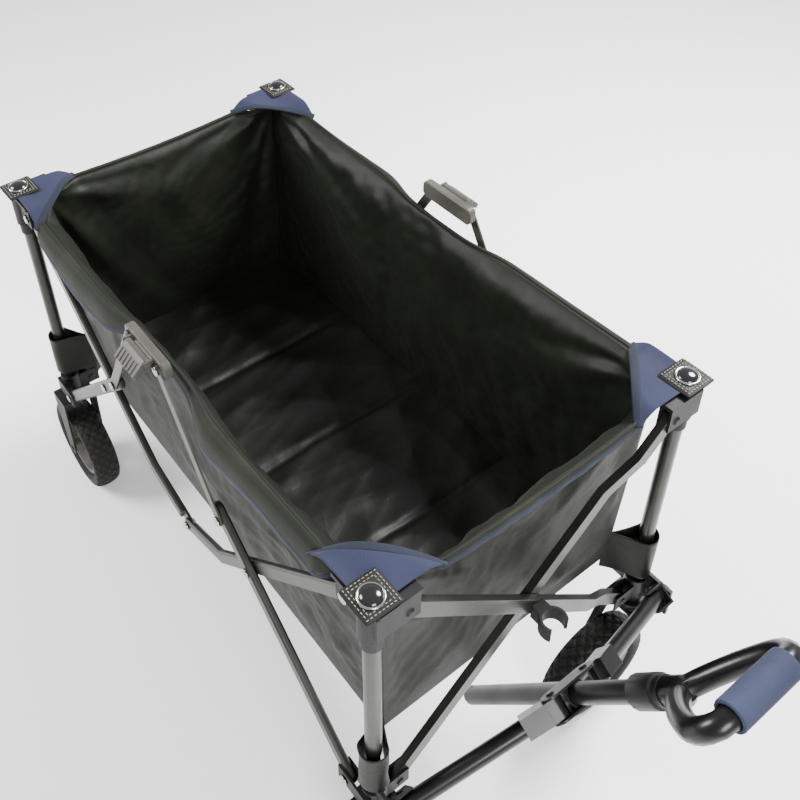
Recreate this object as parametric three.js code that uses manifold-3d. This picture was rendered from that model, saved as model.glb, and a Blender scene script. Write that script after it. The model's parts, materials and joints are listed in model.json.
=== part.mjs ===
// Folding utility wagon with a pull handle, in millimetres, +Z up, +X towards the handle.
// Four corner posts telescope while scissor frames on the sides and ends draw them together.
// The wheels stand on z = 0, and the origin is under the middle of the bounding box.
import * as THREE from 'three';
import { mergeVertices } from 'three/addons/utils/BufferGeometryUtils.js';
import Module from 'manifold-3d';

const wasm = await Module();
wasm.setup();

// Overall sizes
const POST_SPAN_X = 840; // between post axes along the wagon
const POST_SPAN_Y = 456; // between post axes across the wagon
const TYRE_R = 88;
const BOTTOM_PIVOT_Z = 2 * TYRE_R + 62; // lower scissor rivets
const TOP_PIVOT_Z = BOTTOM_PIVOT_Z + 376; // upper scissor rivets
const PIVOT_INSET = 33; // from a post axis to its scissor rivets
const CENTRE_RIVET_Z = BOTTOM_PIVOT_Z + 62; // where the two side ties meet under the middle

// Scissor members and rivets
const MEMBER_WIDTH = 20;
const MEMBER_THICK = 10;
const MEMBER_EDGE = 2.5; // edge rounding
const LAYER_GAP = 0.6; // between neighbouring layers
const PIN_R = 3;
const PIN_CLEARANCE = 0.4;
const HEAD_R = 6.2;
const HEAD_T = 2.2;
const FACE_GAP = 0.3; // between touching pieces
const CHEEK_T = 3;
const ELBOW_REACH = 95; // from the wagon's middle to the bend in a side tie
const STRUT_REACH = 342; // from a strut's foot rivet to its latch link rivet
const STRUT_TAIL = 12; // strut beyond the link rivet
const JOGGLE_START = 60; // from an end bar's rivet to where it steps across
const JOGGLE_END = 115;

// Posts and their fittings
const POST_R = 10;
const POST_WALL = 1.4;
const POST_LENGTH = 290;
const LEG_R = 8;
const LEG_WALL = 1.4;
const LEG_LENGTH = 345;
const CAP_TOP_Z = TOP_PIVOT_Z + 28;
const CAP_PLATE_T = 6;
const COLLAR_R = 15;
const COLLAR_DROP = 54; // collar height under the cap's top
const FERRULE_R = 12.6;
const FERRULE_DROP = 72;
const STUD_R = 7;
const STUD_H = 8;
const HUB_R = 15;
const HUB_RISE = 24; // above the lower rivets
const HUB_DROP = 26; // below the lower rivets
const LUG_T = 5;

// Wheels
const TYRE_WIDTH = 46;
const RIM_R = 59;
const RIM_WIDTH = 36;
const RIM_WALL = 7;
const WEB_T = 9;
const BOSS_R = 13;
const AXLE_R = 4;
const WINDOWS = 5;
const CASTER_TRAIL = 57;
const FORK_T = 3;
const FORK_GAP = 3.5; // between the tyre and a fork arm
const CROWN_T = 6;
const STEM_R = 6;
const FACETS = 24;

// Latch in the middle of each long side
const LINK_T = 2.5;
const LINK_WIDTH = 15;
const LATCH_PIVOT_X = 37;
const LATCH_PIVOT_Z = TOP_PIVOT_Z + 36;
const LATCH_LENGTH = 100;
const LATCH_DROP = 14; // housing below its rivets
const LATCH_RISE = 13; // housing above its rivets
const LATCH_THICK = 12;
const LEVER_WIDTH = 50;
const LEVER_DROP = 24;
const LEVER_GROOVE = 1.6;
const LEVER_TILT = THREE.MathUtils.degToRad(45); // outwards at its foot
const LEVER_RIBS = 6;
const LEVER_PIN_R = 2;

// Drawbar and pull handle, laid out in a plane that pitches about the yoke axis
const HANDLE_PITCH = THREE.MathUtils.degToRad(57.5);
const YOKE_AHEAD = 43; // yoke axis ahead of the front posts
const YOKE_Z = BOTTOM_PIVOT_Z + 30;
const YOKE_INSET = 14; // from a post axis to the drawbar's end rivet
const DRAWBAR_REACH = 84; // from the yoke axis to the centre bracket
const DRAWBAR_R = 11;
const OUTER_TUBE_R = 13;
const CLAMP_OFFSET = OUTER_TUBE_R + 14; // from the handle axis to a clamp rivet
const CLAMP_EYE_R = 10;
const CLAMP_HALF = OUTER_TUBE_R - 0.5; // half the channel's width and depth
const CLAMP_LENGTH = 34;
const OPEN_SHOULDER = 22; // channel end to rivet on the open half
const OPEN_END_GAP = 11; // tongue end to rivet on the open half
const OPEN_TONGUE_HALF = 4.8;
const BRACKET_T = 3;
const BRACKET_R = 14;
const SLEEVE_HALF = 9;
const YOKE_T = 3;
const YOKE_HALF = 12.5;
const DRAWBAR_TAIL = 4; // tube beyond the yoke's rivet
const TRUNNION_R = 6;
const OUTER_TUBE_WALL = 1.6;
const OUTER_TUBE_BACK = 296; // behind the bracket
const OUTER_TUBE_AHEAD = 144; // ahead of the bracket
const INNER_TUBE_R = OUTER_TUBE_R - 2.2;
const INNER_TUBE_WALL = 1.6;
const LOCK_R = OUTER_TUBE_R + 6;
const LOCK_LENGTH = 54;
const NECK_R = OUTER_TUBE_R + 2.5;
const NECK_LENGTH = 34;
const LOOP_R = 12.5;
const LOOP_REACH = 331; // from the bracket to the grip bar
const LOOP_HALF_WIDTH = 61;
const GRIP_LENGTH = 82;
const GRIP_T = 4;

// Handle clip at the crossing of the front scissor
const CLIP_HEIGHT = 22;
const CLIP_WALL = 3.5;
const CLIP_MOUTH = THREE.MathUtils.degToRad(110);

// Fabric tub and floor mat
const TUB_BOTTOM_X = POST_SPAN_X - 54;
const TUB_BOTTOM_Y = POST_SPAN_Y - 66;
const TUB_TOP_X = POST_SPAN_X - 36;
const TUB_TOP_Y = POST_SPAN_Y - 44;
const TUB_BOTTOM_Z = CENTRE_RIVET_Z;
const TUB_TOP_Z = CAP_TOP_Z - 12;
const TUB_WALL = 3;
const MAT_T = 5;
const MAT_MARGIN = 6;

// Derived sizes
const A = POST_SPAN_X / 2;
const B = POST_SPAN_Y / 2;
const PITCH_Y = MEMBER_THICK + LAYER_GAP;
const HALF_SPAN = B - PIVOT_INSET;
const RISE = TOP_PIVOT_Z - BOTTOM_PIVOT_Z;
const CROSS_X = A - PIVOT_INSET - HALF_SPAN;
const CROSS_Z = (TOP_PIVOT_Z + BOTTOM_PIVOT_Z) / 2;
const SLOPE = Math.atan2(RISE / 2, HALF_SPAN);
const ELBOW_Z = CROSS_Z - (CROSS_X - ELBOW_REACH) * Math.tan(SLOPE);
const CHEEK_IN = MEMBER_THICK / 2 + LAYER_GAP;
const CHEEK_OUT = CHEEK_IN + CHEEK_T;
const LAP_R = 20;
const WHEEL_Z = TYRE_R * Math.cos(Math.PI / FACETS);
const FORK_IN = TYRE_WIDTH / 2 + FORK_GAP;
const HUB_BOTTOM_Z = BOTTOM_PIVOT_Z - HUB_DROP;
const HUB_TOP_Z = BOTTOM_PIVOT_Z + HUB_RISE;
const LINK_IN = PITCH_Y + MEMBER_THICK / 2 + LAYER_GAP;

const SEG = 16;
const RIVET_SEG = 10;

// Solids

const solidOf = (geometry) => {
  const bare = geometry.clone();
  bare.deleteAttribute('normal');
  bare.deleteAttribute('uv');
  const merged = mergeVertices(bare, 1e-4);
  const vertProperties = new Float32Array(merged.attributes.position.array);
  const triVerts = new Uint32Array(merged.index.array);
  return new wasm.Manifold(new wasm.Mesh({ numProp: 3, vertProperties, triVerts }));
};

const geometryOf = (solid) => {
  const mesh = solid.getMesh();
  const geometry = new THREE.BufferGeometry();
  geometry.setAttribute('position', new THREE.BufferAttribute(mesh.vertProperties, 3));
  geometry.setIndex(new THREE.BufferAttribute(mesh.triVerts, 1));
  geometry.computeVertexNormals();
  return geometry;
};

const join = (...pieces) => {
  const whole = pieces.map(solidOf).reduce((sum, piece) => sum.add(piece));
  return geometryOf(whole);
};

const cut = (body, ...tools) => {
  const whole = tools.map(solidOf).reduce((rest, tool) => rest.subtract(tool), solidOf(body));
  return geometryOf(whole);
};

const meet = (one, other) => geometryOf(solidOf(one).intersect(solidOf(other)));

const AXES = {
  x: new THREE.Matrix4().makeRotationY(Math.PI / 2),
  y: new THREE.Matrix4().makeRotationX(-Math.PI / 2),
  z: new THREE.Matrix4(),
};

// A turned solid about `axis` through the point `at`, from [radius, height] pairs.
const turned = (profile, axis, at, segments = SEG) => {
  const points = profile.map(([r, h]) => new THREE.Vector2(r, h));
  const geometry = new THREE.LatheGeometry(points, segments);
  geometry.rotateX(Math.PI / 2);
  geometry.applyMatrix4(AXES[axis]);
  return geometry.translate(...at);
};

const rod = (r, low, high, axis, at, segments = SEG) =>
  turned([[0, low], [r, low], [r, high], [0, high]], axis, at, segments);

const pipe = (r, bore, low, high, axis, at, segments = SEG) =>
  turned([[bore, low], [r, low], [r, high], [bore, high], [bore, low]], axis, at, segments);

// A rivet along `axis` between two faces, with a low domed head outside each face.
const rivet = (low, high, axis, at) => {
  const profile = [
    [0, low - HEAD_T],
    [HEAD_R * 0.65, low - HEAD_T],
    [HEAD_R, low],
    [PIN_R, low],
    [PIN_R, high],
    [HEAD_R, high],
    [HEAD_R * 0.65, high + HEAD_T],
    [0, high + HEAD_T],
  ];
  return turned(profile, axis, at, RIVET_SEG);
};

const block = (x0, x1, y0, y1, z0, z1) => {
  const geometry = new THREE.BoxGeometry(Math.abs(x1 - x0), Math.abs(y1 - y0), Math.abs(z1 - z0));
  return geometry.translate((x0 + x1) / 2, (y0 + y1) / 2, (z0 + z1) / 2);
};

// The outline of a bar of even width that follows `path`, with round ends past the end rivets.
const ribbon = (path, width) => {
  const points = path.map(([x, y]) => new THREE.Vector2(x, y));
  const along = points.slice(1).map((p, i) => p.clone().sub(points[i]).normalize());
  const side = (i) => {
    const before = along[Math.max(i - 1, 0)];
    const after = along[Math.min(i, along.length - 1)];
    const mean = before.clone().add(after).normalize();
    const normal = new THREE.Vector2(-mean.y, mean.x);
    return normal.multiplyScalar(width / 2 / Math.abs(mean.dot(before)));
  };
  const left = points.map((p, i) => p.clone().add(side(i)));
  const right = points.map((p, i) => p.clone().sub(side(i)));
  const last = points.length - 1;
  const endAngle = Math.atan2(along[last - 1].y, along[last - 1].x);
  const startAngle = Math.atan2(along[0].y, along[0].x);
  const shape = new THREE.Shape();
  shape.moveTo(left[0].x, left[0].y);
  left.slice(1).forEach((p) => shape.lineTo(p.x, p.y));
  const end = points[last];
  shape.absarc(end.x, end.y, width / 2, endAngle + Math.PI / 2, endAngle - Math.PI / 2, true);
  right.slice(0, -1).reverse().forEach((p) => shape.lineTo(p.x, p.y));
  const start = points[0];
  shape.absarc(start.x, start.y, width / 2, startAngle - Math.PI / 2, startAngle - 1.5 * Math.PI, true);
  return shape;
};

// An outline given a thickness centred on z = 0, with its long edges rounded.
const slab = (shape, thick, edge = 0, curveSegments = 4) => {
  const geometry = new THREE.ExtrudeGeometry(shape, {
    depth: thick - 2 * edge,
    bevelEnabled: edge > 0,
    bevelThickness: edge,
    bevelSize: edge,
    bevelOffset: -edge,
    bevelSegments: 1,
    curveSegments,
  });
  return geometry.translate(0, 0, edge - thick / 2);
};

// Outline axes (x, y) laid on the wagon's (x, z) for the sides, or (y, z) for the ends.
const SIDE_PLANE = new THREE.Matrix4().makeRotationX(Math.PI / 2);
const END_PLANE = new THREE.Matrix4().makeBasis(
  new THREE.Vector3(0, 1, 0),
  new THREE.Vector3(0, 0, 1),
  new THREE.Vector3(1, 0, 0),
);

const onSide = (geometry, y) => geometry.applyMatrix4(SIDE_PLANE).translate(0, y, 0);
const onEnd = (geometry, x) => geometry.applyMatrix4(END_PLANE).translate(x, 0, 0);

// Materials
const CHARCOAL = { color: '#33352f', roughness: 0.42, metalness: 0.6 };
const GUNMETAL = { color: '#8a8a82', roughness: 0.3, metalness: 0.85 };
const BEIGE_STEEL = { color: '#8b8a7c', roughness: 0.4, metalness: 0.6 };
const BLACK_PLASTIC = { color: '#2a2c29', roughness: 0.55, metalness: 0 };
const GREY_PLASTIC = { color: '#77776d', roughness: 0.6, metalness: 0 };
const GLOSS_BLACK = { color: '#15160f', roughness: 0.2, metalness: 0.3 };
const TYRE_BLACK = { color: '#1d1e1b', roughness: 0.85, metalness: 0 };
const RIM_GREY = { color: '#8e8e86', roughness: 0.5, metalness: 0 };
const NAVY_FOAM = { color: '#4a5273', roughness: 0.9, metalness: 0 };
const OLIVE_FABRIC = { color: '#1e211a', roughness: 0.95, metalness: 0 };

const wagon = new THREE.Group();

const add = (name, geometry, look, parent = wagon) => {
  const mesh = new THREE.Mesh(geometry, new THREE.MeshStandardMaterial(look));
  mesh.name = name;
  parent.add(mesh);
  return mesh;
};

// Corner fittings: `sx` is +1 at the front, and `sy` is -1 on the right-hand side.
// `layer` is how far outside the post axis a member lies: on the sides the struts stand on the
// hubs outside the ties, and at the ends the bars step outwards on their way up to the caps.

// Two cheeks either side of a member, and the stretch that ties them to the post's fitting.
const sideCheeks = (sx, sy, layer, low, high) => {
  const mid = B + layer;
  const inner = A - PIVOT_INSET - MEMBER_WIDTH * 0.65;
  const plate = (from, to) => block(sx * inner, sx * A, sy * from, sy * to, low, high);
  return [
    plate(mid - CHEEK_OUT, mid - CHEEK_IN),
    plate(mid + CHEEK_IN, mid + CHEEK_OUT),
    block(sx * (A - 12), sx * (A + 10), sy * (B - 8), sy * (mid + CHEEK_OUT), low, high),
  ];
};

const endCheeks = (sx, sy, layer, low, high) => {
  const mid = A + layer;
  const inner = B - PIVOT_INSET - MEMBER_WIDTH * 0.65;
  const plate = (from, to) => block(sx * from, sx * to, sy * inner, sy * B, low, high);
  return [
    plate(mid - CHEEK_OUT, mid - CHEEK_IN),
    plate(mid + CHEEK_IN, mid + CHEEK_OUT),
    block(sx * (A - 8), sx * (mid + CHEEK_OUT), sy * (B - 12), sy * (B + 8), low, high),
  ];
};

const sideRivet = (sx, sy, layer, z) => {
  const reach = [sy * (B + layer - CHEEK_OUT), sy * (B + layer + CHEEK_OUT)].sort((p, q) => p - q);
  return rivet(reach[0], reach[1], 'y', [sx * (A - PIVOT_INSET), 0, z]);
};

const endRivet = (sx, sy, layer, z) => {
  const reach = [sx * (A + layer - CHEEK_OUT), sx * (A + layer + CHEEK_OUT)].sort((p, q) => p - q);
  return rivet(reach[0], reach[1], 'x', [0, sy * (B - PIVOT_INSET), z]);
};

const capPlate = (sx, sy) => {
  const reach = PIVOT_INSET + MEMBER_WIDTH * 0.75;
  const outer = PITCH_Y + CHEEK_OUT + 1;
  const near = COLLAR_R - 5;
  const corners = [
    [-reach, outer - 8],
    [outer - 8, outer - 8],
    [outer, outer - 16],
    [outer, -reach],
    [-near, -reach],
    [-near, -near - 14],
    [-near - 14, -near],
    [-reach, -near],
  ];
  const shape = new THREE.Shape(corners.map(([x, y]) => new THREE.Vector2(sx * (A + x), sy * (B + y))));
  const geometry = slab(shape, CAP_PLATE_T);
  return geometry.translate(0, 0, CAP_TOP_Z - CAP_PLATE_T / 2);
};

const cornerCap = (sx, sy) => {
  const at = [sx * A, sy * B, 0];
  const low = TOP_PIVOT_Z - MEMBER_WIDTH * 0.62;
  const high = CAP_TOP_Z - CAP_PLATE_T / 2;
  const stud = [
    [0, CAP_TOP_Z - 1],
    [STUD_R, CAP_TOP_Z - 1],
    [STUD_R, CAP_TOP_Z + STUD_H * 0.5],
    [STUD_R * 0.7, CAP_TOP_Z + STUD_H * 0.87],
    [0, CAP_TOP_Z + STUD_H],
  ];
  const body = join(
    rod(COLLAR_R, CAP_TOP_Z - COLLAR_DROP, CAP_TOP_Z - 1, 'z', at),
    rod(FERRULE_R, CAP_TOP_Z - FERRULE_DROP, CAP_TOP_Z - COLLAR_DROP + 1, 'z', at),
    capPlate(sx, sy),
    ...sideCheeks(sx, sy, 0, low, high),
    ...endCheeks(sx, sy, PITCH_Y, low, high),
    sideRivet(sx, sy, 0, TOP_PIVOT_Z),
    endRivet(sx, sy, PITCH_Y, TOP_PIVOT_Z),
    turned(stud, 'z', at),
  );
  const sideSlot = block(
    sx * (A - COLLAR_R - 2), sx * (A - PIVOT_INSET - MEMBER_WIDTH),
    sy * (B - CHEEK_IN), sy * (B + CHEEK_IN), low - 1, CAP_TOP_Z - CAP_PLATE_T,
  );
  const bore = rod(POST_R + FACE_GAP, 0, CAP_TOP_Z - CAP_PLATE_T - 2, 'z', at);
  const pin = sideRivet(sx, sy, 0, TOP_PIVOT_Z);
  return join(cut(body, bore, sideSlot), pin);
};

// The lower fitting: socket for the leg, rivet cheeks, and a bore below for the wheel's stem.
const hubParts = (sx, sy) => {
  const at = [sx * A, sy * B, 0];
  const low = BOTTOM_PIVOT_Z - MEMBER_WIDTH * 0.62;
  const high = BOTTOM_PIVOT_Z + MEMBER_WIDTH * 0.75;
  return join(
    rod(HUB_R, HUB_BOTTOM_Z, HUB_TOP_Z, 'z', at),
    rod(HUB_R + 8, HUB_BOTTOM_Z, HUB_BOTTOM_Z + 5, 'z', at),
    ...sideCheeks(sx, sy, PITCH_Y, low, high),
    ...endCheeks(sx, sy, 0, low, high),
    sideRivet(sx, sy, PITCH_Y, BOTTOM_PIVOT_Z),
    endRivet(sx, sy, 0, BOTTOM_PIVOT_Z),
  );
};

const LEG_FOOT_Z = HUB_BOTTOM_Z + 18;
const legBore = (sx, sy) =>
  rod(LEG_R + FACE_GAP, LEG_FOOT_Z - FACE_GAP, HUB_TOP_Z + 1, 'z', [sx * A, sy * B, 0]);

const LUG_IN = B - YOKE_INSET + YOKE_HALF + YOKE_T + LAYER_GAP;

const frontHub = (sy) => {
  const at = [A, sy * B, 0];
  const lugs = (from, low, high) => block(
    from, A + YOKE_AHEAD + TRUNNION_R + 5, sy * LUG_IN, sy * (LUG_IN + LUG_T), low, high,
  );
  const foot = lugs(A, BOTTOM_PIVOT_Z - 10, HUB_TOP_Z - 6);
  const lug = lugs(A + LEG_R + 3, BOTTOM_PIVOT_Z - 10, YOKE_Z + TRUNNION_R + 5);
  const stemBore = rod(STEM_R + FACE_GAP, HUB_BOTTOM_Z - 1, HUB_BOTTOM_Z + 14, 'z', at);
  const lugBore = rod(
    TRUNNION_R + FACE_GAP, Math.min(sy * LUG_IN, sy * (LUG_IN + LUG_T)) - 1,
    Math.max(sy * LUG_IN, sy * (LUG_IN + LUG_T)) + 1, 'y', [A + YOKE_AHEAD, 0, YOKE_Z],
  );
  return cut(join(hubParts(1, sy), foot, lug), legBore(1, sy), stemBore, lugBore);
};

// Fork arms and axle for a wheel that runs along +X, `trail` behind the stem.
const forkBody = (trail, top) => {
  const reach = FORK_IN + FORK_T;
  const outline = new THREE.Shape([
    new THREE.Vector2(-22, top),
    new THREE.Vector2(-trail - 13, WHEEL_Z + 8),
    new THREE.Vector2(-trail - 9, WHEEL_Z - 9),
    new THREE.Vector2(-trail + 9, WHEEL_Z - 9),
    new THREE.Vector2(-trail + 13, WHEEL_Z + 8),
    new THREE.Vector2(22, top),
  ]);
  const arm = (y) => onSide(slab(outline, FORK_T), y);
  const axle = rivet(-reach, reach, 'y', [-trail, 0, WHEEL_Z]);
  const shaft = rod(AXLE_R, -reach, reach, 'y', [-trail, 0, WHEEL_Z]);
  return join(
    arm(FORK_IN + FORK_T / 2),
    arm(-FORK_IN - FORK_T / 2),
    block(-22, 22, -reach, reach, top - CROWN_T, top),
    axle,
    shaft,
  );
};

const casterFork = () => {
  const top = HUB_BOTTOM_Z - 6;
  return join(
    forkBody(CASTER_TRAIL, top),
    rod(HUB_R + 7, top - 1, HUB_BOTTOM_Z - LAYER_GAP, 'z', [0, 0, 0]),
    rod(STEM_R, top - 1, HUB_BOTTOM_Z + 13, 'z', [0, 0, 0]),
  );
};

const rearHub = (sy) => {
  const top = HUB_BOTTOM_Z + 3;
  const fork = forkBody(0, top).translate(-A, sy * B, 0);
  return cut(join(hubParts(-1, sy), fork), legBore(-1, sy));
};

// Wheel pieces lie about the Y axis with their centre at the origin.
const tyre = () => {
  const half = TYRE_WIDTH / 2;
  const seat = RIM_R + FACE_GAP;
  const profile = [
    [seat, -RIM_WIDTH / 2],
    [TYRE_R - 14, -half],
    [TYRE_R - 3, -half + 4],
    [TYRE_R, -half + 10],
    [TYRE_R, half - 10],
    [TYRE_R - 3, half - 4],
    [TYRE_R - 14, half],
    [seat, RIM_WIDTH / 2],
    [seat, -RIM_WIDTH / 2],
  ];
  return turned(profile, 'y', [0, 0, 0], FACETS).rotateY(Math.PI / FACETS);
};

const rim = () => {
  const half = RIM_WIDTH / 2 - 1;
  const boss = TYRE_WIDTH / 2 + FORK_GAP - 1;
  const bore = AXLE_R + PIN_CLEARANCE;
  const lip = RIM_R - RIM_WALL;
  const profile = [
    [bore, -boss], [BOSS_R, -boss], [BOSS_R + 2, -WEB_T / 2], [lip - 2, -WEB_T / 2],
    [lip, -half], [RIM_R, -half], [RIM_R, half], [lip, half],
    [lip - 2, WEB_T / 2], [BOSS_R + 2, WEB_T / 2], [BOSS_R, boss], [bore, boss], [bore, -boss],
  ];
  const disc = turned(profile, 'y', [0, 0, 0], FACETS).rotateY(Math.PI / FACETS);
  const low = BOSS_R + 7;
  const high = lip - 7;
  const windows = Array.from({ length: WINDOWS }, (_, i) => {
    const half = Math.PI / WINDOWS - 0.2;
    const shape = new THREE.Shape();
    shape.absarc(0, 0, high, -half, half, false);
    shape.absarc(0, 0, low, half * 0.75, -half * 0.75, true);
    const opening = slab(shape, WEB_T * 2, 0, 2);
    opening.rotateX(Math.PI / 2);
    return opening.rotateY((2 * Math.PI * (i + 0.5)) / WINDOWS);
  });
  return cut(disc, ...windows);
};

const addWheel = (corner, parent) => {
  add(`${corner}_tyre`, tyre(), TYRE_BLACK, parent);
  add(`${corner}_rim`, rim(), RIM_GREY, parent);
};

const CORNERS = [
  ['front_right', 1, -1],
  ['front_left', 1, 1],
  ['rear_right', -1, -1],
  ['rear_left', -1, 1],
];

// The casters rest as the wagon was left: the right one leads, and the left one stands across.
const STANCE = { front_right: Math.PI, front_left: Math.PI / 2 };

for (const [corner, sx, sy] of CORNERS) {
  const at = [sx * A, sy * B, 0];
  const postTop = CAP_TOP_Z - CAP_PLATE_T - 2 - FACE_GAP;
  add(`${corner}_cap`, cornerCap(sx, sy), BLACK_PLASTIC);
  const post = pipe(POST_R, POST_R - POST_WALL, postTop - POST_LENGTH, postTop, 'z', at);
  add(`${corner}_upper_post`, post, GUNMETAL);
  const leg = pipe(LEG_R, LEG_R - LEG_WALL, LEG_FOOT_Z, LEG_FOOT_Z + LEG_LENGTH, 'z', at);
  add(`${corner}_lower_post`, leg, GUNMETAL);
  add(`${corner}_hub`, sx > 0 ? frontHub(sy) : rearHub(sy), BLACK_PLASTIC);
  const wheel = new THREE.Group();
  wheel.position.set(...at);
  wheel.rotation.z = STANCE[corner] ?? 0;
  wagon.add(wheel);
  if (sx > 0) add(`${corner}_caster_fork`, casterFork(), BLACK_PLASTIC, wheel);
  const axle = new THREE.Group();
  axle.position.set(sx > 0 ? -CASTER_TRAIL : 0, 0, WHEEL_Z);
  wheel.add(axle);
  addWheel(corner, axle);
}

// Side scissors. A strut runs from a hub up to its latch link, outside the tie that runs from
// the cap down to the middle. The ties' ends are halved where they lap.

const pinHole = (z0, z1, axis, at) => rod(PIN_R + PIN_CLEARANCE, z0, z1, axis, at, RIVET_SEG);

const sideStrut = (sx, sy) => {
  const y = sy * (B + PITCH_Y);
  const foot = [sx * (A - PIVOT_INSET), BOTTOM_PIVOT_Z];
  const at = (s) => [foot[0] - sx * s * Math.cos(SLOPE), foot[1] + s * Math.sin(SLOPE)];
  const outline = ribbon([foot, at(STRUT_REACH + STRUT_TAIL)], MEMBER_WIDTH);
  const bar = onSide(slab(outline, MEMBER_THICK, MEMBER_EDGE), y);
  const outerFace = B + PITCH_Y + MEMBER_THICK / 2;
  const cross = [sy * (B - MEMBER_THICK / 2 - FACE_GAP), sy * outerFace].sort((p, q) => p - q);
  const link = [sy * (outerFace - 2), sy * (LINK_IN + B + LINK_T + FACE_GAP)].sort((p, q) => p - q);
  const linkAt = at(STRUT_REACH);
  const footHole = pinHole(y - MEMBER_THICK, y + MEMBER_THICK, 'y', [foot[0], 0, foot[1]]);
  return join(
    cut(bar, footHole),
    rivet(cross[0], cross[1], 'y', [sx * CROSS_X, 0, CROSS_Z]),
    sy > 0
      ? turned([[0, link[0]], [PIN_R, link[0]], [PIN_R, link[1]], [HEAD_R, link[1]],
        [HEAD_R * 0.62, link[1] + HEAD_T], [0, link[1] + HEAD_T]], 'y', [linkAt[0], 0, linkAt[1]])
      : turned([[0, link[0] - HEAD_T], [HEAD_R * 0.62, link[0] - HEAD_T], [HEAD_R, link[0]],
        [PIN_R, link[0]], [PIN_R, link[1]], [0, link[1]]], 'y', [linkAt[0], 0, linkAt[1]]),
  );
};

const sideTie = (sx, sy) => {
  const y = sy * B;
  const path = [[sx * (A - PIVOT_INSET), TOP_PIVOT_Z], [sx * ELBOW_REACH, ELBOW_Z], [0, CENTRE_RIVET_Z]];
  const bar = onSide(slab(ribbon(path, MEMBER_WIDTH), MEMBER_THICK, MEMBER_EDGE), y);
  const span = (x, z) => pinHole(y - MEMBER_THICK, y + MEMBER_THICK, 'y', [x, 0, z]);
  // The front tie keeps its outer half at the lap and carries the rivet.
  const outerHalf = [sy * (B - FACE_GAP / 2), sy * (B + MEMBER_THICK)];
  const innerHalf = [sy * (B + FACE_GAP / 2), sy * (B - MEMBER_THICK)];
  const away = (sx > 0 ? innerHalf : outerHalf).sort((p, q) => p - q);
  const lap = rod(LAP_R, away[0], away[1], 'y', [0, 0, CENTRE_RIVET_Z], 28);
  const holes = [
    span(sx * (A - PIVOT_INSET), TOP_PIVOT_Z),
    span(sx * CROSS_X, CROSS_Z),
  ];
  if (sx < 0) return cut(bar, lap, ...holes, span(0, CENTRE_RIVET_Z));
  const reach = [sy * (B - MEMBER_THICK / 2 - FACE_GAP), sy * (B + MEMBER_THICK / 2)].sort((p, q) => p - q);
  return join(cut(bar, lap, ...holes), rivet(reach[0], reach[1], 'y', [0, 0, CENTRE_RIVET_Z]));
};

// Link from a strut to the latch. The rear link's upper rivet is only a head, because the latch
// rides on the front link.
const latchLink = (sx, sy) => {
  const foot = [
    sx * (A - PIVOT_INSET - STRUT_REACH * Math.cos(SLOPE)),
    BOTTOM_PIVOT_Z + STRUT_REACH * Math.sin(SLOPE),
  ];
  const top = [sx * LATCH_PIVOT_X, LATCH_PIVOT_Z];
  const mid = sy * (B + LINK_IN + LINK_T / 2);
  const bar = onSide(slab(ribbon([foot, top], LINK_WIDTH), LINK_T), mid);
  const low = mid - LINK_T;
  const high = mid + LINK_T;
  const footHole = pinHole(low, high, 'y', [foot[0], 0, foot[1]]);
  if (sx > 0) return cut(bar, footHole, pinHole(low, high, 'y', [top[0], 0, top[1]]));
  const outer = sy * (B + LINK_IN + LINK_T);
  const head = sy > 0
    ? [
      [0, outer - 1], [HEAD_R, outer - 1], [HEAD_R, outer], [HEAD_R * 0.62, outer + HEAD_T],
      [0, outer + HEAD_T],
    ]
    : [
      [0, outer - HEAD_T], [HEAD_R * 0.62, outer - HEAD_T], [HEAD_R, outer], [HEAD_R, outer + 1],
      [0, outer + 1],
    ];
  return join(cut(bar, footHole), turned(head, 'y', [top[0], 0, top[1]]));
};

const LEVER_AXIS_Y = LINK_IN + 8;
const LEVER_AXIS_Z = LATCH_PIVOT_Z + 4;
const HOUSING_OUT = LINK_IN - FACE_GAP;

const latchHousing = (sy) => {
  const out = B + HOUSING_OUT;
  const outline = new THREE.Shape();
  const low = LATCH_PIVOT_Z - LATCH_DROP;
  const high = LATCH_PIVOT_Z + LATCH_RISE;
  const half = LATCH_LENGTH / 2;
  outline.moveTo(-half, low + 6);
  outline.lineTo(-half + 6, low);
  outline.lineTo(half - 6, low);
  outline.lineTo(half, low + 6);
  outline.lineTo(half, high - 10);
  outline.absarc(half - 10, high - 10, 10, 0, Math.PI / 2, false);
  outline.absarc(-half + 10, high - 10, 10, Math.PI / 2, Math.PI, false);
  const body = onSide(slab(outline, LATCH_THICK, 1.5), sy * (out - LATCH_THICK / 2));
  const ear = (x) => block(
    x - 1.5, x + 1.5, sy * (out - 2), sy * (B + LEVER_AXIS_Y + 5), LEVER_AXIS_Z - 5, LEVER_AXIS_Z + 6,
  );
  const earX = LEVER_WIDTH / 2 + FACE_GAP + 1.5;
  const pin = rod(LEVER_PIN_R, -earX, earX, 'x', [0, sy * (B + LEVER_AXIS_Y), LEVER_AXIS_Z], 12);
  const reach = [sy * (out - 2), sy * (B + LINK_IN + LINK_T + FACE_GAP)].sort((p, q) => p - q);
  const profile = sy > 0
    ? [[0, reach[0]], [PIN_R, reach[0]], [PIN_R, reach[1]], [HEAD_R, reach[1]],
      [HEAD_R * 0.62, reach[1] + HEAD_T], [0, reach[1] + HEAD_T]]
    : [[0, reach[0] - HEAD_T], [HEAD_R * 0.62, reach[0] - HEAD_T], [HEAD_R, reach[0]],
      [PIN_R, reach[0]], [PIN_R, reach[1]], [0, reach[1]]];
  const linkPin = turned(profile, 'y', [LATCH_PIVOT_X, 0, LATCH_PIVOT_Z]);
  return join(body, ear(earX), ear(-earX), pin, linkPin);
};

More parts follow.
